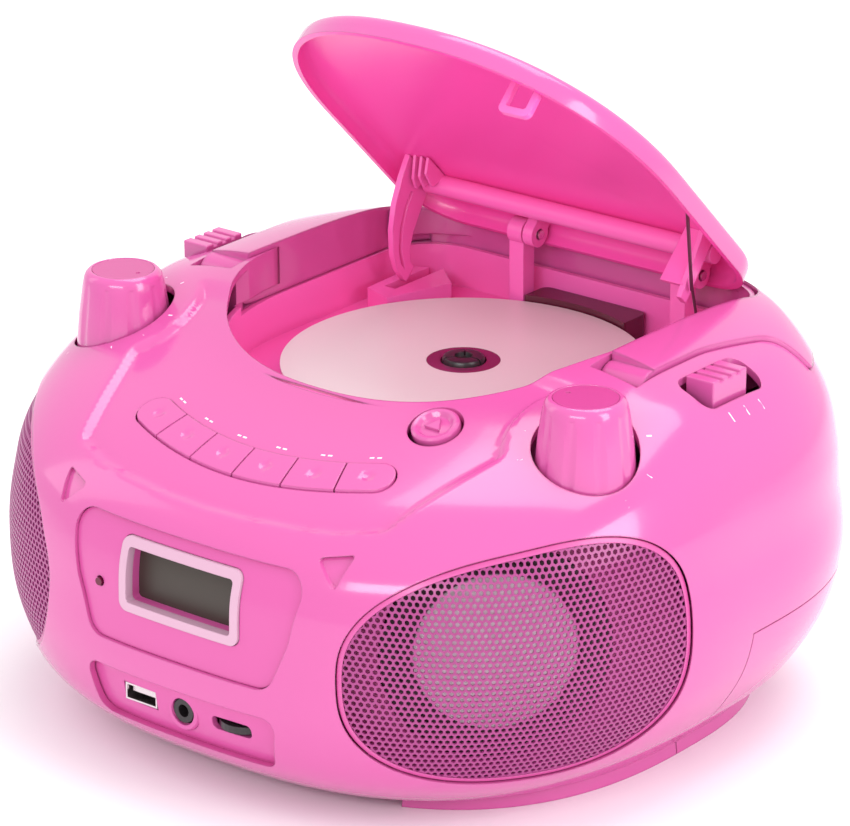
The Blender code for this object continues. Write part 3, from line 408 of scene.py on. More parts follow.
def well_outline(offset=0.0):
    half, front, rear = WELL_HALF + offset, WELL_FRONT + offset, WELL_REAR + offset
    right = []
    for step in range(1, 41):
        angle = math.radians(90 * step / 40)
        right.append((half * math.sin(angle) ** (2 / LID_POWER),
                      DISC_Y - front * math.cos(angle) ** (2 / LID_POWER)))
    corner = WELL_CORNER + offset
    right += arc((half - corner, DISC_Y + rear - corner), corner, 0, 90, 16)
    return [(0.0, DISC_Y - front)] + right + [(-x, y) for x, y in reversed(right)]


def handle_outline(offset=0.0, front=PIVOT_Y - ARM_END):
    """The U of the handle seen from above, with its two ends at the front."""
    beyond = BODY_Y + REAR_DEPTH + 0.02
    outer = [(ARM_OUTER, front), (ARM_OUTER, DISC_Y + 0.005), (ARM_SPREAD, DISC_Y + 0.034),
             (ARM_SPREAD + 0.014, DISC_Y + 0.048), (HALF_WIDTH - offset, DISC_Y + 0.054)]
    outer = eased_line(outer, 0.0035)
    outer = [(x + offset, y) for x, y in outer] + [(HALF_WIDTH, beyond)]
    outer[0] = (outer[0][0], front - offset)
    rear = DISC_Y + HANDLE_REAR - offset
    inner = [(ARM_INNER - offset, front - offset)]
    inner += arc((ARM_INNER - offset - HANDLE_CORNER, rear - HANDLE_CORNER), HANDLE_CORNER, 0, 90, 16)
    left = [(-x, y) for x, y in reversed(outer)] + [(-x, y) for x, y in inner]
    return outer + left + list(reversed(inner))


def eased_line(points, reach):
    """Each inner corner of a line replaced by a short curve."""
    line = [points[0]]
    for before, corner, after in zip(points, points[1:], points[2:]):
        corner, before, after = Vector(corner), Vector(before), Vector(after)
        start = corner + (before - corner).normalized() * reach
        end = corner + (after - corner).normalized() * reach
        for step in range(6):
            t = step / 5
            line.append(tuple(start * (1 - t) ** 2 + corner * 2 * t * (1 - t) + end * t * t))
    return line + [points[-1]]


def grille_edge(grow, count=128):
    angle = np.linspace(0, 2 * math.pi, count, endpoint=False)
    side = np.sign(np.cos(angle)) * abs(np.cos(angle)) ** (2 / GRILLE_POWER)
    rise = np.sign(np.sin(angle)) * abs(np.sin(angle)) ** (2 / GRILLE_POWER)
    return np.stack((GRILLE_SIDE + side * (GRILLE_HALF + grow),
                     SPEAKER_Z + rise * (GRILLE_RISE + grow) * (1 + GRILLE_TAPER * side)
                     + GRILLE_TILT * side), axis=1)


def speaker_frame(side):
    return Matrix.Translation((0, BODY_Y, 0)) @ Matrix.Rotation(side * SPEAKER_TURN, 4, "Z")


def grille_prism(side, grow, near=-0.20, far=-0.100):
    outline = [(float(a) * side, float(v)) for a, v in grille_edge(grow)]
    return moved(front_prism(outline, near, far), speaker_frame(side))


def key_sector(start, end, inner=KEY_INNER, outer=KEY_OUTER, steps=10):
    first = [(inner, start + (end - start) * step / steps) for step in range(steps + 1)]
    second = [(outer, end + (start - end) * step / steps) for step in range(steps + 1)]
    return [(radius * math.sin(a), DISC_Y - radius * math.cos(a)) for radius, a in first + second]


def rounded_strip(grow=0.0):
    """The whole row of keys with rounded ends."""
    middle = (KEY_INNER + KEY_OUTER) / 2
    half = (KEY_OUTER - KEY_INNER) / 2
    inner, outer = middle - half - grow, middle + half + grow
    tip = half / middle
    points = []
    for sign in (1, -1):
        end = KEY_SPREAD - tip
        cap = [(middle + (half + grow) * math.cos(a), sign * (end + (half + grow) * math.sin(a) / middle))
               for a in np.linspace(0, math.pi, 13)]
        points += cap if sign < 0 else cap[::-1]
        swing = np.linspace(sign * end, -sign * end, 25)[1:-1]
        points += [(outer if sign > 0 else inner, angle) for angle in swing]
    return [(float(r * math.sin(a)), float(DISC_Y - r * math.cos(a))) for r, a in points]


PANEL = ((-0.0360, 0.0465), (0.0360, 0.0465), (0.0430, 0.0640),
         (0.0475, 0.0855), (-0.0475, 0.0855), (-0.0430, 0.0640))
PORT = ((-0.0350, 0.0192), (0.0350, 0.0192), (0.0385, 0.0368), (-0.0385, 0.0368))
BEZEL = ((-0.0243, 0.0577), (0.0243, 0.0577), (0.0243, 0.0818), (-0.0243, 0.0818))
DENT = ((0.0471, 0.0897), (0.0582, 0.0918), (0.0559, 0.0820))


def grown(corners, amount):
    """The outline with every corner moved out from the middle."""
    count = len(corners)
    centre = Vector((sum(x for x, _ in corners) / count, sum(z for _, z in corners) / count))
    return [(x + math.copysign(amount, x - centre.x), z + math.copysign(amount, z - centre.y))
            for x, z in corners]


# ---------------------------------------------------------------- materials

def plastic(name, colour, roughness=0.22, bevel=0.0005, coat=0.0, grain=0.04, scale=900.0, bump=0.0):
    """A moulded plastic with a slightly uneven sheen and softened edges."""
    surface = bpy.data.materials.new(name)
    surface.use_nodes = True
    nodes, links = surface.node_tree.nodes, surface.node_tree.links
    shader = nodes["Principled BSDF"]
    shader.inputs["Base Color"].default_value = (*colour, 1)
    shader.inputs["Coat Weight"].default_value = coat
    shader.inputs["Coat Roughness"].default_value = 0.06
    place = nodes.new("ShaderNodeTexCoord")
    noise = nodes.new("ShaderNodeTexNoise")
    noise.inputs["Scale"].default_value = scale
    noise.inputs["Detail"].default_value = 2.0
    links.new(place.outputs["Object"], noise.inputs["Vector"])
    spread = nodes.new("ShaderNodeMapRange")
    spread.inputs["To Min"].default_value = max(0.02, roughness - grain)
    spread.inputs["To Max"].default_value = roughness + grain
    links.new(noise.outputs["Fac"], spread.inputs["Value"])
    links.new(spread.outputs["Result"], shader.inputs["Roughness"])
    if bevel:
        edge = nodes.new("ShaderNodeBevel")
        edge.samples = 4
        edge.inputs["Radius"].default_value = bevel
        links.new(edge.outputs["Normal"], shader.inputs["Normal"])
    if bump:
        rough = nodes.new("ShaderNodeBump")
        rough.inputs["Strength"].default_value = bump
        rough.inputs["Distance"].default_value = 0.0002
        links.new(noise.outputs["Fac"], rough.inputs["Height"])
        if bevel:
            links.new(edge.outputs["Normal"], rough.inputs["Normal"])
        links.new(rough.outputs["Normal"], shader.inputs["Normal"])
    return surface


def metal(name, colour, roughness=0.25):
    surface = plastic(name, colour, roughness, bevel=0.0002)
    surface.node_tree.nodes["Principled BSDF"].inputs["Metallic"].default_value = 1.0
    return surface


PINK = plastic("pink", (0.60, 0.095, 0.330), 0.16, 0.0007, coat=0.35, grain=0.02)
ROUND_PINK = plastic("handle_pink", (0.60, 0.095, 0.330), 0.13, 0.0020, coat=0.4, grain=0.02)
DEEP_SATIN = plastic("deep_satin_pink", (0.48, 0.055, 0.235), 0.30, 0.0003)
PINK_SATIN = plastic("pink_satin", (0.60, 0.092, 0.325), 0.28, 0.0005, grain=0.006)
# Same plastic as the case, painted brighter and more saturated: painted bounce light and fill in the shaded
# well and on the lid hardware.
WELL_PINK_PAINTED_LIGHT = plastic("well_pink_painted_light", (0.93, 0.150, 0.510), 0.20, 0.0005, grain=0.01)
# Inside of the same lid moulding, painted brighter and more saturated: painted bounce light inside the open
# lid.
LID_INSIDE_PAINTED_LIGHT = plastic("lid_inside_painted_light", (0.92, 0.085, 0.430), 0.22, 0.0005, grain=0.01)
GRILLE_PINK = plastic("grille_pink", (0.33, 0.040, 0.190), 0.34, 0.0)
PALE_PINK = plastic("pale_pink", (0.60, 0.36, 0.48), 0.30, 0.0004)
BLACK = plastic("black", (0.018, 0.014, 0.016), 0.30, 0.0004)
LENS_BLACK = plastic("cover_black", (0.10, 0.012, 0.030), 0.22, 0.0005)
DISC_PALE = plastic("disc_print", (0.72, 0.67, 0.66), 0.38, 0.0002)
CLEAR_RING = plastic("disc_hub", (0.20, 0.025, 0.09), 0.08, 0.0)
LCD = plastic("lcd", (0.040, 0.030, 0.022), 0.40, 0.0, grain=0.02)
DARK_WIRE = plastic("spring_wire", (0.10, 0.015, 0.045), 0.3, 0.0)
STEEL = metal("steel", (0.66, 0.60, 0.62))
GREEN = plastic("board", (0.03, 0.17, 0.07), 0.45, 0.0, bump=0.2)
# Pale pink paper cone, painted brighter than its own colour: painted light on the cone where it lies in shade
# behind the grille.
CONE_PAINTED_LIGHT = plastic("paper_cone_painted_light", (0.90, 0.72, 0.82), 0.7, 0.0, bump=0.4)
RUBBER = plastic("speaker_frame", (0.055, 0.020, 0.035), 0.5, 0.0)
WHITE_INK = plastic("white_ink", (0.93, 0.72, 0.84), 0.4, 0.0)
LED = plastic("led", (0.12, 0.004, 0.03), 0.12, 0.0)
FLOOR = plastic("floor", (0.93, 0.92, 0.93), 0.6, 0.0, grain=0.02, scale=40.0)


def piece(item, surface, body, *nodes, slot="pink_plastic"):
    item.data.materials.append(surface)
    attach(item, body)
    if nodes:
        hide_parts(*nodes)
    return item


# ---------------------------------------------------------------- case shells

def rail_mesh():
    ring = case_points(with_relief=False)[0]
    inner = case_points(FOOT_RAIL_WIDTH, with_relief=False)[0]
    high_ring = case_points(0.0006, with_relief=False)[0]
    top = FOOT_HEIGHT + WALL / 2
    rows = []
    for loop, height in ((ring, 0), (high_ring, top), (inner, top), (inner, 0)):
        rows.append([(x, y, height) for x, y, _ in loop])
    points = [point for row in rows for point in row]
    faces = []
    for row in range(4):
        low, high = row * RING_POINTS, ((row + 1) % 4) * RING_POINTS
        for index in range(RING_POINTS):
            after = (index + 1) % RING_POINTS
            faces.append((low + index, low + after, high + after, high + index))
    mesh = mesh_of(points, faces)
    outward(mesh)
    return mesh


def limited(mesh):
    """The part of a mesh that lies just under the case surface."""
    return build("limited", mesh, (KEEP, case_mesh(0.001, -0.001, False)))


def rear_region(grow):
    return box((0, SEAM_Y - grow + 0.10, SEAM_Z + grow - 0.1), (0.4, 0.20, 0.2))


def pocket(outline, depth):
    """A cutter that follows the case surface at a depth."""
    return build("pocket", front_prism(outline, BEFORE, -0.05), (CUT, case_mesh(depth)))


def make_top_cabinet():
    steps = [(ADD, rail_mesh())]
    steps.append((ADD, limited(prism(handle_outline(0.001 + WALL), HANDLE_FLOOR - WALL, ABOVE))))
    steps.append((CUT, prism(handle_outline(0.0008, PIVOT_Y - ARM_END - 0.0021), HANDLE_FLOOR, ABOVE)))
    steps.append((CUT, prism(well_outline(), WELL_FLOOR - 0.004, ABOVE)))
    well_top = WELL_RIM_FRONT - 0.0008
    steps.append((CUT, prism(well_outline(WELL_WALL + GAP), WELL_FLOOR - 0.005, well_top)))
    steps.append((CUT, rear_region(0.0)))
    foot_gap = (2 * FOOT_OPEN_HALF, 0.10, 2 * FOOT_HEIGHT - 0.0002)
    steps.append((CUT, box((0, BODY_Y - FRONT_DEPTH, 0), foot_gap)))
    for side in (-1, 1):
        knob = Vector((side * KNOB_X, KNOB_Y, 0))
        steps.append((CUT, rod(knob + Vector((0, 0, 0.09)), knob + Vector((0, 0, ABOVE)), KNOB_HOLE)))
        slot = rounded([(side * SLIDER_X + a * 0.00675, SLIDER_Y + b * 0.016)
                        for a, b in ((-1, -1), (1, -1), (1, 1), (-1, 1))], 0.0045)
        steps.append((CUT, prism(slot, 0.10, ABOVE)))
        steps.append((CUT, grille_prism(side, GAP)))
    steps.append((CUT, prism(rounded_strip(0.0004), 0.090, ABOVE)))
    steps.append((CUT, rod((OPEN_X, OPEN_Y, 0.10), (OPEN_X, OPEN_Y, ABOVE), OPEN_RADIUS + 0.0005)))
    steps.append((CUT, front_prism(rounded(grown(PANEL, 0.00015), 0.0071), BEFORE, FRONT_LIMIT)))
    steps.append((CUT, front_prism(rounded(grown(PORT, 0.0005), 0.0045), BEFORE, FRONT_LIMIT)))
    for side in (-1, 1):
        steps.append((CUT, pocket(rounded([(side * x, z) for x, z in DENT][::side], 0.0008, 4), 0.0016)))
    floor = ANTENNA_Y - 0.0040
    groove_wall = box((-0.010, floor - WALL + 0.020, ANTENNA_Z), (0.186, 0.040, 0.0142))
    steps.insert(1, (ADD, limited(groove_wall)))
    steps.append((CUT, box((-0.012, floor + 0.020, ANTENNA_Z), (0.184, 0.040, 0.0094))))
    steps.append((CUT, rod((0.070, ANTENNA_Y, ANTENNA_Z), (0.070, ANTENNA_Y - 0.014, ANTENNA_Z), 0.0040)))
    piece(build("top_shell", case_mesh(), *steps, wall=WALL), PINK, "case", "top_cabinet")


def make_rear_cabinet():
    shell = build("rear_shell", case_mesh(), (ADD, rail_mesh()), (KEEP, rear_region(-GAP)),
                  (CUT, box((0, BODY_Y + 0.040, 0), (0.110, 0.056, 0.03))),
                  (CUT, box((-0.050, BODY_Y + REAR_DEPTH - 0.006, 0.030), (0.0208, 0.03, 0.0168))), wall=WALL)
    piece(shell, PINK, "case", "rear_cabinet")


def skin_piece(name, outline, outer, inner, *steps):
    """A plate that follows the case surface between two depths under it."""
    return build(name, front_prism(outline, BEFORE, FRONT_LIMIT), (KEEP, case_mesh(outer, 0, False)),
                 (CUT, case_mesh(inner, 0, False)), *steps)


def make_front():
    window = [(x * 0.875, LCD_Z + (z - LCD_Z) * 0.745) for x, z in BEZEL]
    panel = skin_piece("front_panel", rounded(PANEL, 0.0070), 0.0012, 0.0032,
                       (CUT, front_prism(rounded(grown(BEZEL, 0.0002), 0.0034))),
                       (CUT, rod((LIGHT_X, BEFORE, LIGHT_Z), (LIGHT_X, 0, LIGHT_Z), 0.0017)))
    piece(panel, PINK_SATIN, "case", "display_panel")
    bezel = skin_piece("lcd_bezel", rounded(BEZEL, 0.0032), 0.0004, 0.0036,
                       (CUT, front_prism(rounded(window, 0.0014))))
    piece(bezel, PALE_PINK, "case", "display_bezel", slot="pale_pink_plastic")
    sleeve = skin_piece("lcd_sleeve", rounded(grown(window, 0.0004), 0.0016), 0.0036, 0.0080,
                        (CUT, front_prism(rounded(window, 0.0014))))
    piece(sleeve, PINK_SATIN, "case")
    glass = skin_piece("lcd_window", rounded(grown(window, 0.0003), 0.0010), 0.0066, 0.0078)
    piece(glass, LCD, "case", "display_window", "display_module", slot="smoked_window")
    face = BODY_Y - FRONT_DEPTH + 0.0042
    wheel_slot = [(WHEEL_X + a * 0.0076, PORT_Z + b * 0.0023)
                  for a, b in ((-1, -1), (1, -1), (1, 1), (-1, 1))]
    ports = skin_piece("port_plate", rounded(grown(PORT, 0.0022), 0.0050), 0.0028, 0.0050,
                       (CUT, box((USB_X, -0.12, PORT_Z), (0.0139, 0.1, 0.0065))),
                       (CUT, rod((0, BEFORE, PORT_Z), (0, 0, PORT_Z), 0.0044)),
                       (CUT, front_prism(rounded(wheel_slot, 0.0018))))
    piece(ports, PINK_SATIN, "case", "port_panel")
    collar = build("jack_collar", rod((0, face + 0.0004, PORT_Z), (0, face - 0.0006, PORT_Z), 0.0066, 0.0060),
                   (CUT, rod((0, face + 0.01, PORT_Z), (0, face - 0.01, PORT_Z), 0.0046)))
    piece(collar, PINK_SATIN, "case")


# ---------------------------------------------------------------- grilles

def on_speaker_surface(a, v, side, inset):
    """Points of the case surface seen along the speaker axis at sideways a and height v."""
    near, far = np.full_like(a, 0.05), np.full_like(a, 0.17)
    turn = side * SPEAKER_TURN
    for _ in range(32):
        middle = (near + far) / 2
        x = side * a * math.cos(turn) + middle * math.sin(turn)
        y = BODY_Y + side * a * math.sin(turn) - middle * math.cos(turn)
        outside = case_outside(x, y, v, inset) > 0
        far = np.where(outside, middle, far)
        near = np.where(outside, near, middle)
    return np.stack((x, y, v), axis=-1)


def grille_inside(a, v, shrink):
    side = np.clip((a - GRILLE_SIDE) / (GRILLE_HALF - shrink), -1, 1)
    rise = (v - SPEAKER_Z - GRILLE_TILT * side) / ((GRILLE_RISE - shrink) * (1 + GRILLE_TAPER * side))
    return (abs((a - GRILLE_SIDE) / (GRILLE_HALF - shrink)) ** GRILLE_POWER + abs(rise) ** GRILLE_POWER) < 1


def make_grille(word, side):
    columns = np.arange(-70, 71) * HOLE_PITCH
    rows = np.arange(-50, 51)
    a, row = np.meshgrid(columns, rows)
    a = a + (row % 2) * HOLE_PITCH / 2
    v = SPEAKER_Z + row * HOLE_PITCH * math.sqrt(3) / 2
    chosen = grille_inside(a, v, 0.0009)
    centres = np.stack((a[chosen], v[chosen]), axis=1)
    angle = np.radians(30 + 60 * np.arange(6))
    spokes = np.stack((np.cos(angle), np.sin(angle)), axis=1)
    outer = centres[:, None] + spokes * HOLE_PITCH / math.sqrt(3)
    inner = centres[:, None] + spokes * HOLE_RADIUS
    flat = np.concatenate((outer, inner), axis=1).reshape(-1, 2)
    spots = np.round(flat / 1e-7).astype(np.int64) // 20
    _, first, index = np.unique(spots, axis=0, return_index=True, return_inverse=True)
    points = on_speaker_surface(flat[first][:, 0], flat[first][:, 1], side, GRILLE_INSET)
    faces = []
    for cell in index.reshape(-1, 12):
        for k in range(6):
            after = (k + 1) % 6
            quad = (int(cell[k]), int(cell[after]), int(cell[6 + after]), int(cell[6 + k]))
            faces.append(quad if side > 0 else quad[::-1])
    sheet = build(word + "_mesh", mesh_of(points, faces), smooth=60, wall=0.0007)
    piece(sheet, GRILLE_PINK, "case", word + "_grille", slot="deep_pink_plastic")
    rim_points, rim_faces = [], []
    count = 160
    for grow, inset in ((-0.0002, GRILLE_INSET - 0.0002), (-0.0016, GRILLE_INSET - 0.0002),
                        (-0.0016, GRILLE_INSET + 0.0012), (-0.0002, GRILLE_INSET + 0.0012)):
        edge = grille_edge(grow, count)
        rim_points.append(on_speaker_surface(edge[:, 0], edge[:, 1], side, inset))
    for loop in range(4):
        low, high = loop * count, ((loop + 1) % 4) * count
        for k in range(count):
            after = (k + 1) % count
            rim_faces.append((low + k, low + after, high + after, high + k))
    rim_mesh = mesh_of(np.vstack(rim_points), rim_faces)
    outward(rim_mesh)
    piece(build(word + "_grille_rim", rim_mesh), PINK_SATIN, "case")


def make_baffle(word, side):
    place = speaker_frame(side)
    plate = grille_prism(side, 0.004, BAFFLE_Y, -0.1160)
    hole = moved(rod((0, -0.13, SPEAKER_Z), (0, -0.10, SPEAKER_Z), 0.0362), place)
    baffle = build(word + "_baffle", plate, (KEEP, case_mesh(0.0045, 0, False)), (CUT, hole))
    piece(baffle, DEEP_SATIN, "case")
    turn = Matrix.Rotation(math.radians(90), 4, "X")
    facing = place @ Matrix.Translation((0, BAFFLE_Y, SPEAKER_Z)) @ turn
    rim = moved(revolved_ring(0.0310, 0.0360, 0.0012), facing)
    piece(build(word + "_basket_rim", rim), RUBBER, "case")
    ring = moved(revolved_ring(0.0256, 0.0308, 0.0022), facing)
    piece(build(word + "_surround", ring), RUBBER, "case")
    # The dome takes the brightened cone colour: painted light behind the grille.
    dome = revolved(((0, -0.0012), (0.0255, -0.0012), (0.0255, 0.0), (0.0200, 0.0010),
                     (0.0120, 0.0018), (0.0050, 0.0022), (0, 0.0023)), (0, 0, 0))
    piece(build(word + "_dome", moved(dome, facing), smooth=60), CONE_PAINTED_LIGHT, word + "_cone", slot="pale_plastic")


def revolved_ring(inner, outer, height, sides=72):
    """A half-round ring about Z."""
    points, faces = [], []
    middle, half = (inner + outer) / 2, (outer - inner) / 2
    count = 8
    for step in range(sides):
        angle = 2 * math.pi * step / sides
        for k in range(count):
            lift = math.pi * k / (count - 1)
            radius = middle + half * math.cos(lift)
            points.append((radius * math.cos(angle), radius * math.sin(angle), height * math.sin(lift)))
    for step in range(sides):
        low, high = step * count, ((step + 1) % sides) * count
        for k in range(count):
            after = (k + 1) % count
            faces.append((low + k, high + k, high + after, low + after))
    mesh = mesh_of(points, faces)
    outward(mesh)
    return mesh


# ---------------------------------------------------------------- handle and lid

def make_handle():
    nose = build("nose", box((0, PIVOT_Y - 0.05, PIVOT_Z), (0.3, 0.10, 0.08)),
                 (CUT, rod((-0.2, PIVOT_Y, PIVOT_Z), (0.2, PIVOT_Y, PIVOT_Z), ARM_END)))
    handle = build("carry_handle", prism(handle_outline(), HANDLE_FLOOR + 0.0006, ABOVE),
                   (KEEP, case_mesh(0.0, HANDLE_RISE, False)), (CUT, nose))
    piece(handle, ROUND_PINK, "carrying_handle", "handle")


def lid_loop(inset, steps=40):
    right = []
    for step in range(1, steps + 1):
        angle = math.radians(90 * step / steps)
        right.append(((LID_HALF - inset) * math.sin(angle) ** (2 / LID_POWER),
                      DISC_Y - (LID_FRONT - inset) * math.cos(angle) ** (2 / LID_POWER)))
    corner = max(0.003, WELL_CORNER - inset * 0.35)
    right += arc((LID_HALF - inset - corner, DISC_Y + LID_REAR - inset - corner), corner, 0, 90, 14)
    return [(0.0, DISC_Y - LID_FRONT + inset)] + right + [(-x, y) for x, y in reversed(right)]


LID_PROFILE = ((0.0, 0.0), (0.0001, 0.0030), (0.0003, 0.0052), (0.0008, 0.0064), (0.0017, 0.0073),
               (0.0032, 0.0080), (0.006, 0.0086), (0.012, 0.0095), (0.022, 0.0108), (0.034, 0.0118),
               (0.048, 0.0123))
LID_CROWN = 0.0125
LID_WALL = 0.0020


def lid_mesh():
    """The lid closed: a shallow dome with its own thickness."""
    loops = [[(x, y, HINGE.z + height) for x, y in lid_loop(inset)] for inset, height in LID_PROFILE]
    inner = [[(x, y, HINGE.z + max(0.0, height - LID_WALL)) for x, y in lid_loop(inset + LID_WALL)]
             for inset, height in LID_PROFILE]
    count = len(loops[0])
    points, faces = [], []
    for loop in inner[::-1] + loops:
        points += loop
    rows = len(points) // count
    for row in range(rows - 1):
        for k in range(count):
            after = (k + 1) % count
            here, above = row * count, (row + 1) * count
            faces.append((here + k, above + k, above + after, here + after))
    low, high = len(points), len(points) + 1
    points += [(0, DISC_Y, HINGE.z + LID_CROWN - LID_WALL), (0, DISC_Y, HINGE.z + LID_CROWN)]
    top = (rows - 1) * count
    for k in range(count):
        after = (k + 1) % count
        faces.append((low, k, after))
        faces.append((top + k, high, top + after))
    mesh = mesh_of(points, faces)
    outward(mesh)
    return mesh


def opened(mesh):
    pivot = Matrix.Translation(HINGE) @ Matrix.Rotation(-LID_OPEN, 4, "X") @ Matrix.Translation(-HINGE)
    return moved(mesh, pivot)


def side_plate(outline, x, thickness):
    """A plate across X from (forward of hinge, up) points in millimetres on the closed lid."""
    mesh = prism([(forward / 1000, up / 1000) for forward, up in outline], -thickness / 2, thickness / 2)
    turn = Matrix(((0, 0, -1, 0), (-1, 0, 0, 0), (0, 1, 0, 0), (0, 0, 0, 1)))
    return moved(mesh, Matrix.Translation((x, HINGE.y, HINGE.z)) @ turn)


STAY = ((25, 6.8), (23, -1), (19.5, -10), (14.5, -17.5), (8, -23.5), (2.5, -26.3), (-2.5, -27),
        (-4.8, -27), (-4.8, -21), (-2, -20.5), (1.5, -17.5), (4.2, -12), (5.6, -6), (7, 0), (9, 6.8))
STAY_SLOT = ((14.2, -2), (13.0, -8), (10.0, -14), (5.4, -19.9), (0.2, -23.0), (-1, -24.2),
             (2.2, -23.6), (6.6, -20.9), (11.3, -14.9), (14.4, -8.2), (15.5, -2))


def hinge_rod(x, reach, radius):
    return rod((x - reach, HINGE.y, HINGE.z), (x + reach, HINGE.y, HINGE.z), radius)


def make_lid():
    shell = piece(build("lid_shell", opened(lid_mesh()), smooth=40), PINK, "lid", "disc_lid")
    shell.data.materials.append(LID_INSIDE_PAINTED_LIGHT)
    # Faces turned into the lid get material 1, the painted-light pink; the outside keeps the case pink.
    lid_up = Vector((0, math.sin(LID_OPEN), math.cos(LID_OPEN)))
    middle = Matrix.Rotation(-LID_OPEN, 4, "X") @ Vector((0, DISC_Y - HINGE.y, -0.004)) + HINGE
    for polygon in shell.data.polygons:
        if polygon.normal.dot(polygon.center - middle) < 0 and polygon.normal.dot(lid_up) < 0.3:
            polygon.material_index = 1
    for index, x in enumerate(EAR_X):
        ear = build("lid_ear_%d" % index,
                    opened(box((x, HINGE.y - 0.001, HINGE.z + 0.0034), (0.004, 0.007, 0.0068))),
                    (ADD, opened(hinge_rod(x, 0.002, EAR_RADIUS))),
                    (CUT, opened(hinge_rod(x, 0.004, PIN_BORE))))
        piece(ear, WELL_PINK_PAINTED_LIGHT, "lid")
    stay = build("stay_arm", opened(side_plate(STAY, STAY_X, 0.0022)),
                 (CUT, opened(side_plate(STAY_SLOT, STAY_X, 0.01))))
    piece(stay, WELL_PINK_PAINTED_LIGHT, "lid")
    for index in range(3):
        outline = ((12, 7.4), (16, -1 + index), (20 + index, 0.5 + index), (25, 7.4))
        rib = side_plate(outline, RIB_X + RIB_STEP * index, 0.0011)
        piece(build("lid_rib_%d" % index, opened(rib)), WELL_PINK_PAINTED_LIGHT, "lid")
    bar_y, bar_z = HINGE.y - 0.0105, HINGE.z + 0.0046
    bar = rod((-0.0600, bar_y, bar_z), (0.0600, bar_y, bar_z), 0.0036)
    piece(build("lid_bar", opened(bar)), WELL_PINK_PAINTED_LIGHT, "lid")
    strut = ((15.5, 8), (22.5, 8), (17.5, -16), (13.5, -16))
    piece(build("lid_strut", opened(side_plate(strut, 0.0590, 0.0020))), WELL_PINK_PAINTED_LIGHT, "lid")
    web = box((0.0545, HINGE.y - 0.0178, HINGE.z - 0.002), (0.0090, 0.0014, 0.020))
    piece(build("lid_strut_web", opened(web)), WELL_PINK_PAINTED_LIGHT, "lid")
    loop_place = Matrix.Translation((0.0405, DISC_Y - 0.0535, 0))
    ring = rounded([(-0.006, HINGE.z - 0.0085), (0.006, HINGE.z - 0.0085), (0.006, HINGE.z + 0.0067),
                    (-0.006, HINGE.z + 0.0067)], 0.0022)
    gap = rounded([(-0.0038, HINGE.z - 0.0060), (0.0038, HINGE.z - 0.0060), (0.0038, HINGE.z + 0.0030),
                   (-0.0038, HINGE.z + 0.0030)], 0.0010)
    loop = build("latch_loop", opened(moved(front_prism(ring, -0.0011, 0.0011), loop_place)),
                 (CUT, opened(moved(front_prism(gap, -0.01, 0.01), loop_place))))
    piece(loop, WELL_PINK_PAINTED_LIGHT, "lid")


def make_lid_spring():
    """The wire down in the well, which in the player gives way as the lid closes, is drawn straight; the
    other leg lies along the lid.
    """
    low = Vector((LID_HALF - 0.0145, HINGE.y - 0.0060, WELL_FLOOR + 0.0020))
    high = Vector((LID_HALF - 0.0185, HINGE.y - 0.0110, HINGE.z + 0.0120))
    wire = build("spring_wire", rod(low, high, 0.0005, sides=16))
    piece(wire, DARK_WIRE, "case", "lid_spring", slot="steel")
    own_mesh(wire)
    under = Vector((0.0655, HINGE.y - 0.0440, HINGE.z + 0.0035))
    foot = Vector((0.0615, HINGE.y - 0.0160, HINGE.z - 0.0120))
    piece(build("spring_leg", opened(rod(under, foot, 0.0006, sides=16))), DARK_WIRE, "lid", slot="steel")


def make_well():
    post_steps = []
    rise = HINGE.z - WELL_FLOOR
    for x in POST_X:
        post_steps.append((ADD, box((x, HINGE.y, WELL_FLOOR + rise / 2 - 0.001), (0.006, 0.006, rise))))
        post_steps.append((ADD, hinge_rod(x, 0.003, EAR_RADIUS)))
        post_steps.append((CUT, hinge_rod(x, 0.01, PIN_BORE)))
    step = PIVOT_Y - ARM_END - 0.003
    diagonal = Matrix.Rotation(math.radians(45), 4, "Z")
    well = build("well_tub", prism(well_outline(WELL_WALL), WELL_FLOOR - WELL_WALL, WELL_RIM_FRONT - 0.0014),
                 (CUT, prism(well_outline(), WELL_FLOOR, ABOVE)),
                 (CUT, box((0, step + 0.10, HANDLE_FLOOR + 0.05), (0.3, 0.20, 0.10))), *post_steps,
                 (CUT, rod((0, DISC_Y, 0.08), (0, DISC_Y, 0.11), 0.018)),
                 (CUT, box((0.030, DISC_Y + 0.030, WELL_FLOOR), (0.056, 0.014, 0.02), diagonal)),
                 (CUT, box((0.0378, DISC_Y - 0.0635, 0.1230), (0.0038, 0.020, 0.0220))))
    # The well tub gets the brightened pink: painted bounce light in the recess.
    piece(well, WELL_PINK_PAINTED_LIGHT, "case", "disc_well")
    ledge = [(-0.0680, 0.0590), (-0.0560, 0.0550), (-0.0480, 0.0800), (-0.0600, 0.0905), (-0.0690, 0.0860)]
    shelf = build("well_ledge", prism(ledge, WELL_FLOOR, DISC_Z + 0.0008),
                  (CUT, rod((0, DISC_Y, 0.09), (0, DISC_Y, 0.12), DISC_RADIUS + 0.001)),
                  (KEEP, prism(well_outline(-0.0001), 0.09, 0.12)),
                  (CUT, box((STAY_X, HINGE.y - 0.008, 0.103), (0.0048, 0.030, 0.0090))))
    piece(shelf, WELL_PINK_PAINTED_LIGHT, "case")


# ---------------------------------------------------------------- disc and controls

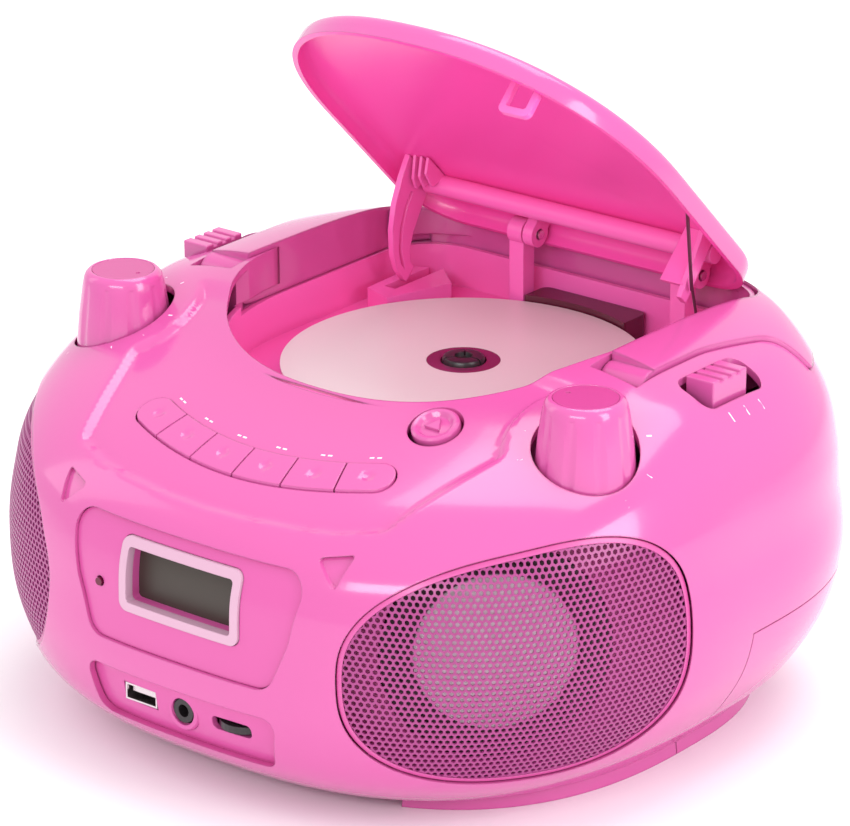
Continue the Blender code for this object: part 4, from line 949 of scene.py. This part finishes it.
def make_disc():
    disc = build("disc_print", rod((0, DISC_Y, DISC_Z - 0.0012), (0, DISC_Y, DISC_Z), DISC_RADIUS, sides=160),
                 (CUT, rod((0, DISC_Y, 0.09), (0, DISC_Y, 0.11), PRINT_RADIUS)))
    piece(disc, DISC_PALE, "disc_drive", "compact_disc", slot="disc")
    ring = build("disc_hub_ring",
                 rod((0, DISC_Y, DISC_Z - 0.0011), (0, DISC_Y, DISC_Z - 0.0001), PRINT_RADIUS - 0.00005),
                 (CUT, rod((0, DISC_Y, 0.09), (0, DISC_Y, 0.11), 0.0076)))
    piece(ring, CLEAR_RING, "disc_drive", slot="disc")
    top = DISC_Z + 0.0016
    hub = revolved(((0, 0.0925), (0.003, 0.0925), (0.003, 0.1), (0.0155, 0.1), (0.0155, 0.1021),
                    (0.0072, 0.1022), (0.0071, top - 0.0012), (0.0066, top - 0.0003), (0.0058, top),
                    (0.0030, top), (0.0026, top - 0.0014), (0, top - 0.0014)), (0, DISC_Y, 0))
    claws = []
    for index in range(3):
        turn = Matrix.Rotation(2 * math.pi * index / 3, 4, "Z")
        claw = box((0.0052, 0, 0), (0.0050, 0.0006, 0.004))
        claws.append((CUT, moved(claw, Matrix.Translation((0, DISC_Y, top)) @ turn)))
    piece(build("spindle_hub", hub, *claws), BLACK, "disc_drive", "turntable", slot="dark_plastic")


def make_knob(name, body, side):
    base, top = 0.0158, 0.0128
    profile = ((0, KNOB_BASE), (base, KNOB_BASE), (base - 0.0001, KNOB_BASE + 0.004),
               (base - 0.0009, KNOB_BASE + 0.012), (top + 0.0007, KNOB_TOP - 0.0050),
               (top + 0.0001, KNOB_TOP - 0.0022), (top - 0.0005, KNOB_TOP - 0.0010),
               (top - 0.0014, KNOB_TOP - 0.0002), (top - 0.0020, KNOB_TOP), (top - 0.0024, KNOB_TOP),
               (top - 0.0026, KNOB_TOP - 0.0004), (0, KNOB_TOP - 0.0004))
    centre = Vector((side * KNOB_X, KNOB_Y, 0))
    bore_low, bore_high = Vector((0, 0, KNOB_BASE - 0.002)), Vector((0, 0, KNOB_TOP - 0.008))
    steps = [(CUT, rod(centre + bore_low, centre + bore_high, 0.0034))]
    for index in range(FLUTES):
        angle = 2 * math.pi * index / FLUTES
        out = Vector((math.cos(angle), math.sin(angle), 0))
        steps.append((CUT, rod(centre + out * 0.0197 + Vector((0, 0, KNOB_BASE + 0.001)),
                               centre + out * 0.0172 + Vector((0, 0, KNOB_TOP - 0.003)), 0.0042, sides=32)))
    piece(build(name + "_cap", revolved(profile, centre), *steps, smooth=35), PINK, body, name)
    plate = rod(centre + Vector((0, 0, KNOB_TOP - 0.0004)), centre + Vector((0, 0, KNOB_TOP - 0.0001)),
                top - 0.00265)
    dot = centre + Vector((-side * 0.0066, 0, KNOB_TOP + 0.0002))
    piece(build(name + "_top", plate, (CUT, ball(dot, 0.0008))), DEEP_SATIN, body)


def make_keys():
    cell = 2 * KEY_SPREAD / len(KEY_NAMES)
    gap = 0.0005 / KEY_INNER
    beyond = 0.1
    last = len(KEY_NAMES) - 1
    radius = (KEY_INNER + KEY_OUTER) / 2
    for index, name in enumerate(KEY_NAMES):
        start = -KEY_SPREAD + index * cell
        low = start - beyond if index == 0 else start + gap / 2
        high = start + cell + beyond if index == last else start + cell - gap / 2
        sector = key_sector(low, high, KEY_INNER - 0.001, KEY_OUTER + 0.001)
        middle = start + cell / 2
        x, y = radius * math.sin(middle), DISC_Y - radius * math.cos(middle)
        top = case_height(x, y) + 0.0006
        dimple = Vector((x, y, top)) + top_normal(x, y) * 0.0052
        key = build(name + "_cap", prism(rounded_strip(-0.0001), top - 0.0085, ABOVE),
                    (KEEP, prism(sector, 0.08, 0.15)), (KEEP, case_mesh(0.0, 0.0006)),
                    (CUT, ball(dimple, 0.0058)))
        piece(key, PINK, name[:-4], name)


def tilt_at(x, y):
    return Vector((0, 0, 1)).rotation_difference(top_normal(x, y)).to_matrix().to_4x4()


def make_open_button():
    top = case_height(OPEN_X, OPEN_Y)
    place = (OPEN_X, OPEN_Y, top)
    turn = tilt_at(OPEN_X, OPEN_Y)
    r = OPEN_RADIUS - 0.0002
    profile = ((0, -0.006), (r - 0.001, -0.006), (r - 0.0002, -0.0005), (r - 0.0004, 0.0006),
               (r - 0.0012, 0.0013), (r - 0.0022, 0.0011), (r - 0.0030, 0.0002), (r - 0.0034, -0.0002),
               (0, 0.0001))
    triangle = prism([(0, 0.0030), (-0.0028, -0.0018), (0.0028, -0.0018)], 0.0, 0.0009)
    mark = moved(triangle, Matrix.Translation(place) @ turn)
    button = build("open_cap", revolved(profile, place, turn=turn), (ADD, mark),
                   (ADD, rod((OPEN_X, OPEN_Y, 0.1045), (OPEN_X, OPEN_Y, top - 0.003), 0.0035)))
    piece(button, PINK, "lid_release", "open_button")


def make_marks():
    """Plain ticks round the knobs, beside the sliders and along the keys."""
    marks = []
    for side, first, last, count in ((-1, -150, 150, 11), (1, -140, 140, 9)):
        for step in range(count):
            angle = math.radians(90 + first + (last - first) * step / (count - 1))
            ends = [(side * KNOB_X + radius * math.cos(angle), KNOB_Y + radius * math.sin(angle))
                    for radius in (TICK_START, TICK_END)]
            marks.append((ends[0], ends[1], 0.0005))
        for step in range(3):
            y = SLIDER_Y - 0.008 + 0.008 * step
            marks.append(((side * (SLIDER_X + 0.0090), y), (side * (SLIDER_X + 0.0115), y), 0.0005))
    for index in range(len(KEY_NAMES)):
        middle = -KEY_SPREAD + (index + 0.5) * 2 * KEY_SPREAD / len(KEY_NAMES)
        for shift in (-0.012, 0.012):
            angles = [middle + shift * k for k in (0.4, 1.6)]
            ends = [(KEY_TICK_RADIUS * math.sin(angle), DISC_Y - KEY_TICK_RADIUS * math.cos(angle))
                    for angle in angles]
            marks.append((ends[0], ends[1], 0.0006))
    points, faces = [], []
    for (ax, ay), (bx, by), width in marks:
        along = Vector((bx - ax, by - ay)).normalized()
        across = Vector((-along.y, along.x)) * width / 2
        base = len(points)
        for lift in (-0.0003, 0.00006):
            for x, y in ((ax - across.x, ay - across.y), (bx - across.x, by - across.y),
                         (bx + across.x, by + across.y), (ax + across.x, ay + across.y)):
                points.append(Vector((x, y, case_height(x, y))) + top_normal(x, y) * lift)
        faces += [tuple(base + k for k in face) for face in
                  ((3, 2, 1, 0), (4, 5, 6, 7), (0, 1, 5, 4), (1, 2, 6, 5), (2, 3, 7, 6), (3, 0, 4, 7))]
    piece(build("printed_marks", mesh_of(points, faces)), WHITE_INK, "case", slot="pale_plastic")


# ---------------------------------------------------------------- kept frame nodes

NODE_LOOKS = (
    (STEEL, ("antenna_bracket", "antenna_middle_tube", "antenna_outer_tube", "antenna_tip_rod",
             "handle_pin_left", "handle_pin_right", "hinge_pin_left", "hinge_pin_right",
             "sled_rail_left", "sled_rail_right", "usb_socket", "spindle_motor", "sled_motor",
             "transformer", "tuning_capacitor", "volume_potentiometer", "mic_volume_pot")),
    (BLACK, ("aux_jack", "mains_inlet", "mechanism_chassis", "mic_volume_wheel", "optical_pickup")),
    (PINK, ("function_slider", "band_slider", "battery_box", "battery_door", "latch_hook")),
    (GREEN, ("main_board", "key_board")),
    (CONE_PAINTED_LIGHT, ("left_speaker_cone", "right_speaker_cone")),
    (RUBBER, ("left_speaker_frame", "right_speaker_frame")),
    (PALE_PINK, ("sled_gear",)),
    (LED, ("power_led",)),
    (LENS_BLACK, ("mechanism_cover",)))


def dress_frame():
    for surface, nodes in NODE_LOOKS:
        for node in nodes:
            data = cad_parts[node].data
            data.materials.clear()
            data.materials.append(surface)


# ---------------------------------------------------------------- studio

def area_light(name, place, target, size, power):
    light = bpy.data.lights.new(name, "AREA")
    light.shape = "RECTANGLE"
    light.size, light.size_y = size
    light.energy = power
    item = bpy.data.objects.new(name, light)
    item.location = place
    item.rotation_euler = (Vector(target) - Vector(place)).to_track_quat("-Z", "Y").to_euler()
    bpy.context.scene.collection.objects.link(item)


def make_studio():
    mesh = bpy.data.meshes.new("floor")
    mesh.from_pydata([(-6, -6, 0), (6, -6, 0), (6, 6, 0), (-6, 6, 0)], [], [(0, 1, 2, 3)])
    floor = bpy.data.objects.new("studio_floor", mesh)
    floor.data.materials.append(FLOOR)
    bpy.context.scene.collection.objects.link(floor)
    world = bpy.data.worlds.new("studio")
    world.use_nodes = True
    background = world.node_tree.nodes["Background"]
    background.inputs["Color"].default_value = (1.0, 0.985, 1.0, 1)
    background.inputs["Strength"].default_value = 1.0
    bpy.context.scene.world = world
    area_light("top_softbox", (0.0, 0.30, 1.05), (0, 0, 0.08), (0.90, 0.60), 6.0)
    area_light("left_softbox", (-0.95, -0.35, 0.60), (0, 0, 0.08), (0.35, 0.7), 0.8)
    area_light("right_softbox", (0.95, 0.00, 0.55), (0, 0, 0.08), (0.35, 0.6), 4.0)
    area_light("front_softbox", (0.35, -1.15, 0.70), (0, 0.02, 0.12), (0.9, 0.26), 5.5)
    bpy.context.scene.view_settings.view_transform = "Standard"


def make_camera():
    azimuth, elevation, roll = math.radians(38.822), math.radians(21.258), math.radians(-0.19)
    flat = math.cos(elevation)
    back = Vector((math.sin(azimuth) * flat, -math.cos(azimuth) * flat, math.sin(elevation)))
    right = Vector((math.cos(azimuth), math.sin(azimuth), 0))
    up = back.cross(right)
    rolled = right * math.cos(roll) + up * math.sin(roll)
    raised = up * math.cos(roll) - right * math.sin(roll)
    data = bpy.data.cameras.new("photo_camera")
    data.lens = 186.2
    data.sensor_width = 36.0
    data.clip_end = 30
    camera = bpy.data.objects.new("photo_camera", data)
    camera.matrix_world = Matrix(((rolled.x, raised.x, back.x, 0.8335),
                                  (rolled.y, raised.y, back.y, -1.03025),
                                  (rolled.z, raised.z, back.z, 0.6087),
                                  (0, 0, 0, 1)))
    bpy.context.scene.collection.objects.link(camera)
    bpy.context.scene.camera = camera


make_top_cabinet()
make_rear_cabinet()
make_front()
for speaker_word, speaker_side in (("left", -1), ("right", 1)):
    make_grille(speaker_word, speaker_side)
    make_baffle(speaker_word, speaker_side)
make_handle()
make_lid()
make_lid_spring()
make_well()
make_disc()
make_knob("volume_knob", "volume", -1)
make_knob("tuning_knob", "tuning", 1)
make_keys()
make_open_button()
make_marks()
dress_frame()
make_studio()
make_camera()
